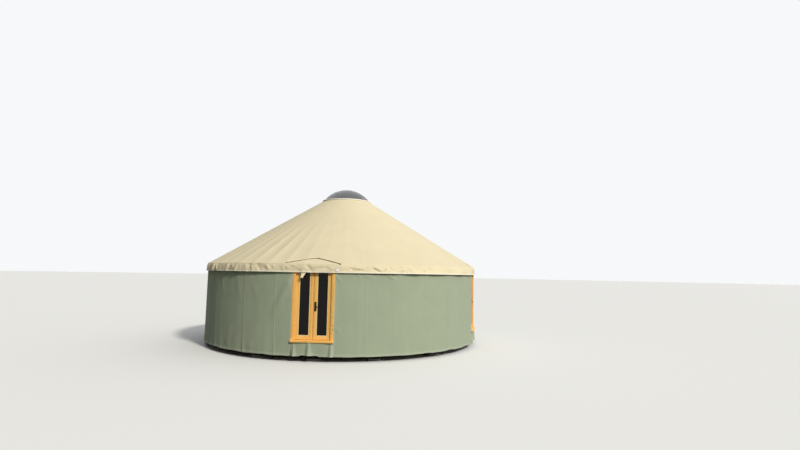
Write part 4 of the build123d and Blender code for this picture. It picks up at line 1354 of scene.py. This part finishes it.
class YURT_OT_fittings(Operator):
    """Makes the lever handles and the butt hinges of both doorways"""

    bl_idname = "yurt.fittings"
    bl_label = "Door furniture"

    plate_width, plate_depth, plate_radius = 0.058, 0.008, 0.010
    lever_radius, lever_bend, lever_droop = 0.010, 0.020, 0.004
    lever_inset, lever_height = 0.022, 0.52
    hinge_length, hinge_plate = 0.102, 0.002
    knuckles, knuckle_radius, knuckle_gap = 5, 0.0065, 0.001
    finial = (0.35, 0.8, 0.95, 0.95)
    sharp = 0.7

    def execute(self, context):
        colours = context.scene.yurt_colours
        self.black = coated_metal("satin_black_powder_coat", colours.handle, 0.42)
        self.zinc = bare_metal("zinc_plated_steel", linear("#B9BBBC"), 0.35)
        for name, azimuth in DOORS.items():
            self.handle(name, azimuth)
            self.hinges(name, azimuth)
        return {"FINISHED"}

    def handle(self, name, azimuth):
        """Long rounded backplates and turned-over levers, one on each face of the right leaf."""
        low, high = map(np.array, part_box("front_handle"))
        leaf_low, leaf_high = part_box("front_right_leaf")
        x, tall = low[0] + self.lever_inset, high[2] - low[2]
        outline = rounded(self.plate_width, tall, self.plate_radius, 4)
        form = Form()
        for face, out, end in ((leaf_low.y, -1, low[1]), (leaf_high.y, 1, high[1])):
            depth = out * self.plate_depth
            centres = stacked(x, face + depth * np.array((0, 0.6, 0.9, 1.0)), (low[2] + high[2]) / 2)
            form.sweep(outline, centres, (0, 0, 1), sizes=[1, 1, 0.99, 0.965])
            self.lever(form, x, face + depth * 0.8, end, out, low[2] + self.lever_height * tall, high[0])
        form.turned(azimuth)
        node, body = f"{name}_handle", f"{name}_right_door"
        form.piece(f"metal_{node}", self.black, body=body, slot="handle", replaces=[node], sharp=radians(50))

    def lever(self, form, x, start, end, out, z, tip):
        """A round neck that turns in a quarter circle into an oval grip, which narrows.

        An oval is carried along the three, and the grip droops by half a sine wave.
        """
        bend, middle = self.lever_bend, end - out * self.lever_radius
        turn, share = np.linspace(0, pi / 2, 7), np.linspace(0, 1, 9)[1:]
        neck = stacked(x, np.linspace(start, middle - out * bend, 4)[:3], z)
        elbow = stacked(x + bend * (1 - np.cos(turn)), middle - out * bend * (1 - np.sin(turn)), z)
        droop = self.lever_droop * np.sin(pi * share)
        grip = stacked(x + bend + (tip - x - bend) * share, middle, z - droop)
        sizes = np.concatenate((np.ones(len(neck) + len(elbow)), 1 - 0.12 * share))
        sizes[-1] *= 0.6
        centres = np.vstack((neck, elbow, grip))
        form.sweep(circle(self.lever_radius, 12) * (1, 1.1), centres, (0, 0, 1), sizes=sizes)

    def hinges(self, name, azimuth):
        """Two butt hinges a leaf: plates let into the jamb and the leaf, and knuckles on a pin between."""
        jamb_low, jamb_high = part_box("front_jamb_hinges")
        leaf_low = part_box("front_right_hinges")[0]
        for side in ("right", "left"):
            forms = {"jamb": Form(), "leaf": Form()}
            for bottom in (jamb_low.z, jamb_high.z - self.hinge_length):
                self.hinge(forms, bottom, leaf_low, jamb_high)
            for form in forms.values():
                if side == "left":
                    form.mirrored()
                form.turned(azimuth)
            jamb, leaf = f"{name}_jamb_hinges", f"{name}_{side}_hinges"
            forms["jamb"].piece(
                f"metal_{jamb}_{side}", self.zinc, slot="hinge", replaces=[jamb], sharp=self.sharp
            )
            body = f"{name}_{side}_door"
            forms["leaf"].piece(
                f"metal_{leaf}", self.zinc, body=body, slot="hinge", replaces=[leaf], sharp=self.sharp
            )

    def hinge(self, forms, bottom, leaf_low, jamb_high):
        """Knuckles in turn on the jamb and on the leaf, finials at the ends, and a plate on each."""
        x, y = (leaf_low.x + jamb_high.x) / 2 + 0.001, jamb_high.y - self.knuckle_radius
        top, step = bottom + self.hinge_length, self.hinge_length / self.knuckles
        knuckle, pin = circle(self.knuckle_radius, 16), circle(self.knuckle_radius * 0.9, 16)
        for k in range(self.knuckles):
            low = bottom + k * step + self.knuckle_gap / 2
            high = bottom + (k + 1) * step - self.knuckle_gap / 2
            centres = stacked(x, y, np.array((low, low + 0.0006, high - 0.0006, high)))
            forms["leaf" if k % 2 else "jamb"].sweep(knuckle, centres, (0, 1, 0), sizes=[0.9, 1, 1, 0.9])
        for low, sizes in ((bottom - 0.005, self.finial), (top - 0.001, self.finial[::-1])):
            forms["jamb"].sweep(pin, stacked(x, y, np.linspace(low, low + 0.006, 4)), (0, 1, 0), sizes=sizes)
        front, plate = leaf_low.y, self.hinge_plate
        forms["jamb"].board((jamb_high.x - plate, front, bottom), (jamb_high.x, y, top), 2, 0.0004)
        forms["leaf"].board((leaf_low.x, front, bottom), (leaf_low.x + plate, y, top), 2, 0.0004)


# Crown


class YURT_OT_dome(Operator):
    """Makes the dome, its seal and the curb that carries it"""

    bl_idname = "yurt.dome"
    bl_label = "Dome"

    sheet, lip, edge = 0.006, 0.039, 0.001
    seal, curb = 0.016, 0.070
    columns = 144

    def execute(self, context):
        """The dome is two arcs of balls about one centre, joined at the foot by a flange with eased edges.

        The outer ball's radius is (wall^2 + rise^2) / (2 rise), where wall is the radius at its foot.
        """
        low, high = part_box("dome")
        outer, base, wall = high.x, low.z + self.sheet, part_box("dome_curb")[1].x
        rise = high.z - base
        ball = (wall**2 + rise**2) / (2 * rise)
        arcs = []
        for radius in (ball, ball - self.sheet):
            turn = np.linspace(0.02, acos((ball - rise) / radius), 25)
            arcs.append(stacked(radius * np.sin(turn), high.z - ball + radius * np.cos(turn)))
        lip, eased = outer - self.lip, outer - self.edge
        flange = ((eased, base), (outer, base - self.edge), (outer, low.z + self.edge), (eased, low.z))
        profile = np.vstack((arcs[0], flange, ((lip, low.z), (lip, base)), arcs[1][::-1]))
        form = Form()
        form.revolve(profile, self.columns)
        material = acrylic_material(context.scene.yurt_colours.dome)
        form.piece("acrylic_dome", material, slot="dome", replaces=["dome"], sharp=radians(50))
        self.rings(low.z, outer, wall)
        return {"FINISHED"}

    def rings(self, base, outer, wall):
        """The seal that clamps the flange's edge, and the curb: rounded rectangles turned about the axis."""
        seal, curb = Form(), Form()
        outline = rounded(self.seal, self.seal, 0.005, 3) + (outer - self.edge, base + self.sheet / 2)
        seal.revolve(outline[::-1], self.columns, closed=True)
        seal.piece("rubber_dome_seal", rubber_material(), slot="curb")
        low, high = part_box("dome_curb")
        outline = rounded(self.curb, high.z - low.z, 0.004) + (wall - self.curb / 2, (low.z + high.z) / 2)
        curb.revolve(outline[::-1], self.columns, closed=True)
        coat = coated_metal("charcoal_powder_coat", linear("#3A3B3E"), 0.5)
        curb.piece("metal_dome_curb", coat, slot="curb", replaces=["dome_curb"], sharp=radians(50))


# Roof and wall timber


def roof_slope(sizes):
    """Angle of the cone above the level, from the eave to the crown's edge."""
    top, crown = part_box("roof_canvas_1")[1].z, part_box("crown_ring")[1].x
    return atan2(top - sizes.crease_height, sizes.crease_radius - crown)


class YURT_OT_roof_timber(Operator):
    """Makes the rafters, the laminated crown ring and the cable round the rafters' tails"""

    bl_idname = "yurt.roof_timber"
    bl_label = "Rafters and crown ring"

    rafter_width, rafter_depth = 0.045, 0.090
    ring_width, ring_ease = 0.090, 0.006
    strand = 0.006

    def execute(self, context):
        sizes, colours = context.scene.yurt_sizes, context.scene.yurt_colours
        deal = timber_material("planed_softwood", colours.deal, colours.deal_dark, 0.22, 0.55)
        self.rafters(sizes, deal)
        low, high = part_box("crown_ring")
        pale = shade(colours.deal, 0.92)[:3]
        laminated = timber_material(
            "varnished_laminated_softwood", pale, colours.deal_dark, 0.05, 0.34, ring=0.004
        )
        centres = ring_route(high.x - self.ring_width / 2, (low.z + high.z) / 2, 144)
        ring = Form()
        ring.sweep(rounded(self.ring_width, high.z - low.z, self.ring_ease), centres, (0, 0, 1), closed=True)
        ring.piece("timber_crown_ring", laminated, slot="ring", replaces=["crown_ring"], sharp=radians(50))
        low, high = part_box("tension_cable")
        radius = (high.z - low.z) / 2
        centres = ring_route(high.x - radius, (low.z + high.z) / 2, 270)
        cable = Form()
        cable.sweep(circle(radius, 8), centres, (0, 0, 1), closed=True)
        rope = bare_metal("galvanised_wire_rope", linear("#A9ABAD"), 0.4, twist=self.strand)
        cable.piece("wire_tension_cable", rope, slot="cable", replaces=["tension_cable"])
        return {"FINISHED"}

    def rafters(self, sizes, material):
        """Each board is an upright section carried from the crown's plumb cut to the tail's."""
        low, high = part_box("rafters_front")
        slope, crown = roof_slope(sizes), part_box("crown_ring")[1].x
        bay = 2 * pi / sizes.rafters
        tail = -low.y / cos(bay / 2)
        depth = self.rafter_depth / cos(slope)
        outline = rounded(self.rafter_width, depth, sizes.board_ease, 1)
        reach = np.array((crown, (crown + tail) / 2, tail))
        middle = high.z - depth / 2 - (reach - crown) * tan(slope)
        forms = {"front": Form(), "back": Form()}
        for i in range(sizes.rafters):
            azimuth = (i + 0.5) * bay
            side = np.array((cos(azimuth), sin(azimuth), 0))
            centres = polar(azimuth, reach, middle)
            rings = centres[:, None] + outline[:, :1] * side + outline[:, 1:] * (0, 0, 1)
            half = forms["front" if cos(azimuth) > 0 else "back"]
            half.tube(rings, shift=(0.31 * (i % 7), 1.7 * i), flip=True)
        for name, form in forms.items():
            node = f"rafters_{name}"
            form.piece(f"timber_{node}", material, slot="rafter", replaces=[node], sharp=radians(50))


class YURT_OT_lattice(Operator):
    """Makes the wall lattice from sprung laths, with a bolt at each crossing"""

    bl_idname = "yurt.lattice"
    bl_label = "Wall lattice"

    width, thickness, lath_ease = 0.038, 0.012, 0.002
    behind_cloth = 0.003
    rise_bays = 3
    head_radius, end_lift, clear_of_jamb = 0.007, 0.014, 0.006
    # Depth of each ring of a bolt's head, and its share of the head's radius.
    head_rings = ((-0.002, 1), (0.002, 1), (0.004, 0.6))

    def execute(self, context):
        sizes, colours = context.scene.yurt_sizes, context.scene.yurt_colours
        low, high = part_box("lattice_back_right")
        self.low, self.high, self.outer = low.z, high.z, high.x - self.behind_cloth
        self.inner = self.outer - 2 * self.thickness
        self.jamb = asin(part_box("front_door_frame")[1].x / self.inner)
        self.bay = 2 * pi / sizes.rafters
        self.half_run = self.rise_bays * self.bay / 2
        forms = {name: Form() for name in WALL_ARCS}
        for climb, face in ((1, self.outer), (-1, self.outer - self.thickness)):
            for i in range(sizes.rafters):
                middle = (i + 0.5) * self.bay - climb * self.half_run
                self.lath(forms, middle, climb, face - self.thickness / 2, i)
        pale = shade(colours.deal, 1.05)[:3]
        material = timber_material("planed_ash_laths", pale, colours.deal_dark, 0.10, 0.6)
        for name, form in forms.items():
            node = f"lattice_{name}"
            form.piece(f"laths_{name}", material, slot="lath", replaces=[node], sharp=radians(50))
        self.bolts(sizes)
        return {"FINISHED"}

    def lath(self, forms, middle, climb, radius, number):
        """A helix of upright pitch: azimuth = middle + climb x half run x (share of the height from -1 to 1).

        Its width is laid out level, width / sin(slope), so its ends are level cuts. Where it meets a doorway
        its points are held at the jamb, which cuts it upright.
        """
        slope = atan2(self.high - self.low, 2 * self.half_run * radius)
        outline = rounded(self.width, self.thickness, self.lath_ease, 1) * (1 / sin(slope), 1)
        share = np.linspace(-1, 1, 19)
        azimuth = middle + climb * self.half_run * share
        height = (self.low + self.high) / 2 + share * (self.high - self.low) / 2
        half = self.width / 2 / sin(slope) / radius
        away = [np.abs(azimuth - middle - signed(door - middle)) for door in DOORS.values()]
        free = np.min(away, axis=0) > self.jamb - half
        for run in np.split(np.arange(len(share)), np.flatnonzero(np.diff(free)) + 1):
            if free[run[0]] and len(run) > 1:
                place = azimuth[run].mean()
                across = np.clip(azimuth[run, None] + outline[:, 0] / radius, *self.limits(place))
                rings = polar(across, radius + outline[:, 1], height[run, None])
                arc = WALL_ARCS[np.searchsorted(wall_joints()[:-1], place % (2 * pi), side="right")]
                forms[arc].tube(rings, shift=(0.19 * (number % 9), 1.3 * number), flip=True)

    def limits(self, azimuth):
        """The jambs' azimuths on both sides of a place on the wall."""
        doors = [azimuth + signed(door - azimuth) for door in DOORS.values()]
        low = max([door + self.jamb for door in doors if door < azimuth], default=azimuth - pi)
        high = min([door - self.jamb for door in doors if door >= azimuth], default=azimuth + pi)
        return low, high

    def bolts(self, sizes):
        """A low round head inside each crossing: they lie half a bay and a sixth of the height apart."""
        form = Form()
        steps = 2 * self.rise_bays
        heights = np.linspace(self.low, self.high, steps + 1)
        heights = np.clip(heights, self.low + self.end_lift, self.high - self.end_lift)
        disc = self.head_radius * circle(1, 8)
        for level, height in enumerate(heights):
            for i in range(sizes.rafters):
                azimuth = (i + 0.5 * (1 - level % 2)) * self.bay
                from_door = min(abs(signed(azimuth - door)) for door in DOORS.values())
                if from_door < self.jamb + self.clear_of_jamb:
                    continue
                side, out = np.array((cos(azimuth), sin(azimuth), 0)), polar(azimuth, 1, 0)
                flat = disc[:, :1] * side + disc[:, 1:] * (0, 0, 1)
                centre = polar(azimuth, self.inner, height)
                rings = [centre - depth * out + size * flat for depth, size in self.head_rings]
                form.tube(np.stack(rings), flip=True)
        form.piece("metal_lath_bolts", bare_metal("zinc_plated_bolts", linear("#B4B6B8"), 0.35), slot="hinge")


# Deck


class YURT_OT_deck(Operator):
    """Makes the floor boards, and finishes the deck's frame, its posts and their pads"""

    bl_idname = "yurt.deck"
    bl_label = "Deck"

    board_pitch, groove, floor_ease = 0.140, 0.003, 0.004
    sides = 54
    edge = 0.003

    def execute(self, context):
        colours = context.scene.yurt_colours
        pale = shade(colours.deal, 0.95)[:3]
        self.floor(timber_material("oiled_floor_boards", pale, colours.deal_dark, 0.3, 0.4))
        sawn = (linear("#B39468"), linear("#7F6340"))
        stained = (linear("#5E5044"), linear("#3B3029"))
        self.dress("joists", timber_material("sawn_joist_softwood", *sawn, 0.3, 0.75, along=0))
        self.dress("bearers", timber_material("sawn_bearer_softwood", *sawn, 0.3, 0.75, along=1))
        self.dress("pier_posts", timber_material("stained_post_softwood", *stained, 0.3, 0.7, along=2))
        self.dress("deck_rim", timber_material("stained_plywood", *stained, 0.05, 0.65, along=2))
        self.dress("pier_pads", concrete_material())
        return {"FINISHED"}

    def dress(self, node, material):
        """Gives a node of the frame its finish and eased edges."""
        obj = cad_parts[node]
        obj.data.materials.clear()
        obj.data.materials.append(material)
        weld = obj.modifiers.new("welded", "WELD")
        weld.merge_threshold = 0.0001
        ease_edges(obj, self.edge, 1, 40)

    def floor(self, material):
        """Boards along Y that end on the deck's circle: y = sqrt(radius^2 - x^2) at each of their points."""
        low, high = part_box("floor_deck")
        radius = low.y / -cos(pi / self.sides)
        count = int(2 * radius / self.board_pitch)
        outline = rounded(self.board_pitch - self.groove, high.z - low.z, self.floor_ease, 1)
        z = (low.z + high.z) / 2 + outline[:, 1]
        form = Form()
        for i in range(count):
            x = (i + 0.5 - count / 2) * self.board_pitch + outline[:, 0]
            half = np.sqrt((radius - self.floor_ease) ** 2 - x**2)
            rings = stacked(x, np.linspace(-1, 1, 5)[:, None] * half, z)
            form.tube(rings, shift=(0.29 * (i % 11), 0.83 * i), flip=True)
        form.piece("timber_floor_boards", material, slot="floor", replaces=["floor_deck"], sharp=radians(50))


# Panel and start


class YURT_PT_panel(Panel):
    """Lists the yurt's sizes, colours and pieces"""

    bl_idname = "YURT_PT_panel"
    bl_label = "Canvas yurt"
    bl_space_type = "VIEW_3D"
    bl_region_type = "UI"
    bl_category = "Yurt"

    def draw(self, context):
        layout = self.layout
        for group in (context.scene.yurt_sizes, context.scene.yurt_colours):
            box = layout.box()
            for name in group.__annotations__:
                box.prop(group, name)
        for operator in OPERATORS:
            layout.operator(operator.bl_idname)


OPERATORS = (
    YURT_OT_stage,
    YURT_OT_roof_canvas,
    YURT_OT_wall_canvas,
    YURT_OT_rain_strips,
    YURT_OT_doors,
    YURT_OT_fittings,
    YURT_OT_dome,
    YURT_OT_roof_timber,
    YURT_OT_lattice,
    YURT_OT_deck,
)
CLASSES = (YurtSizes, YurtColours, *OPERATORS, YURT_PT_panel)


def register():
    for cls in CLASSES:
        bpy.utils.register_class(cls)
    bpy.types.Scene.yurt_sizes = PointerProperty(type=YurtSizes)
    bpy.types.Scene.yurt_colours = PointerProperty(type=YurtColours)


def unregister():
    del bpy.types.Scene.yurt_colours
    del bpy.types.Scene.yurt_sizes
    for cls in reversed(CLASSES):
        bpy.utils.unregister_class(cls)


def main():
    register()
    bpy.ops.yurt.stage()
    bpy.ops.yurt.roof_canvas()
    bpy.ops.yurt.wall_canvas()
    bpy.ops.yurt.rain_strips()
    bpy.ops.yurt.doors()
    bpy.ops.yurt.fittings()
    bpy.ops.yurt.dome()
    bpy.ops.yurt.roof_timber()
    bpy.ops.yurt.lattice()
    bpy.ops.yurt.deck()


if __name__ == "__main__":
    main()
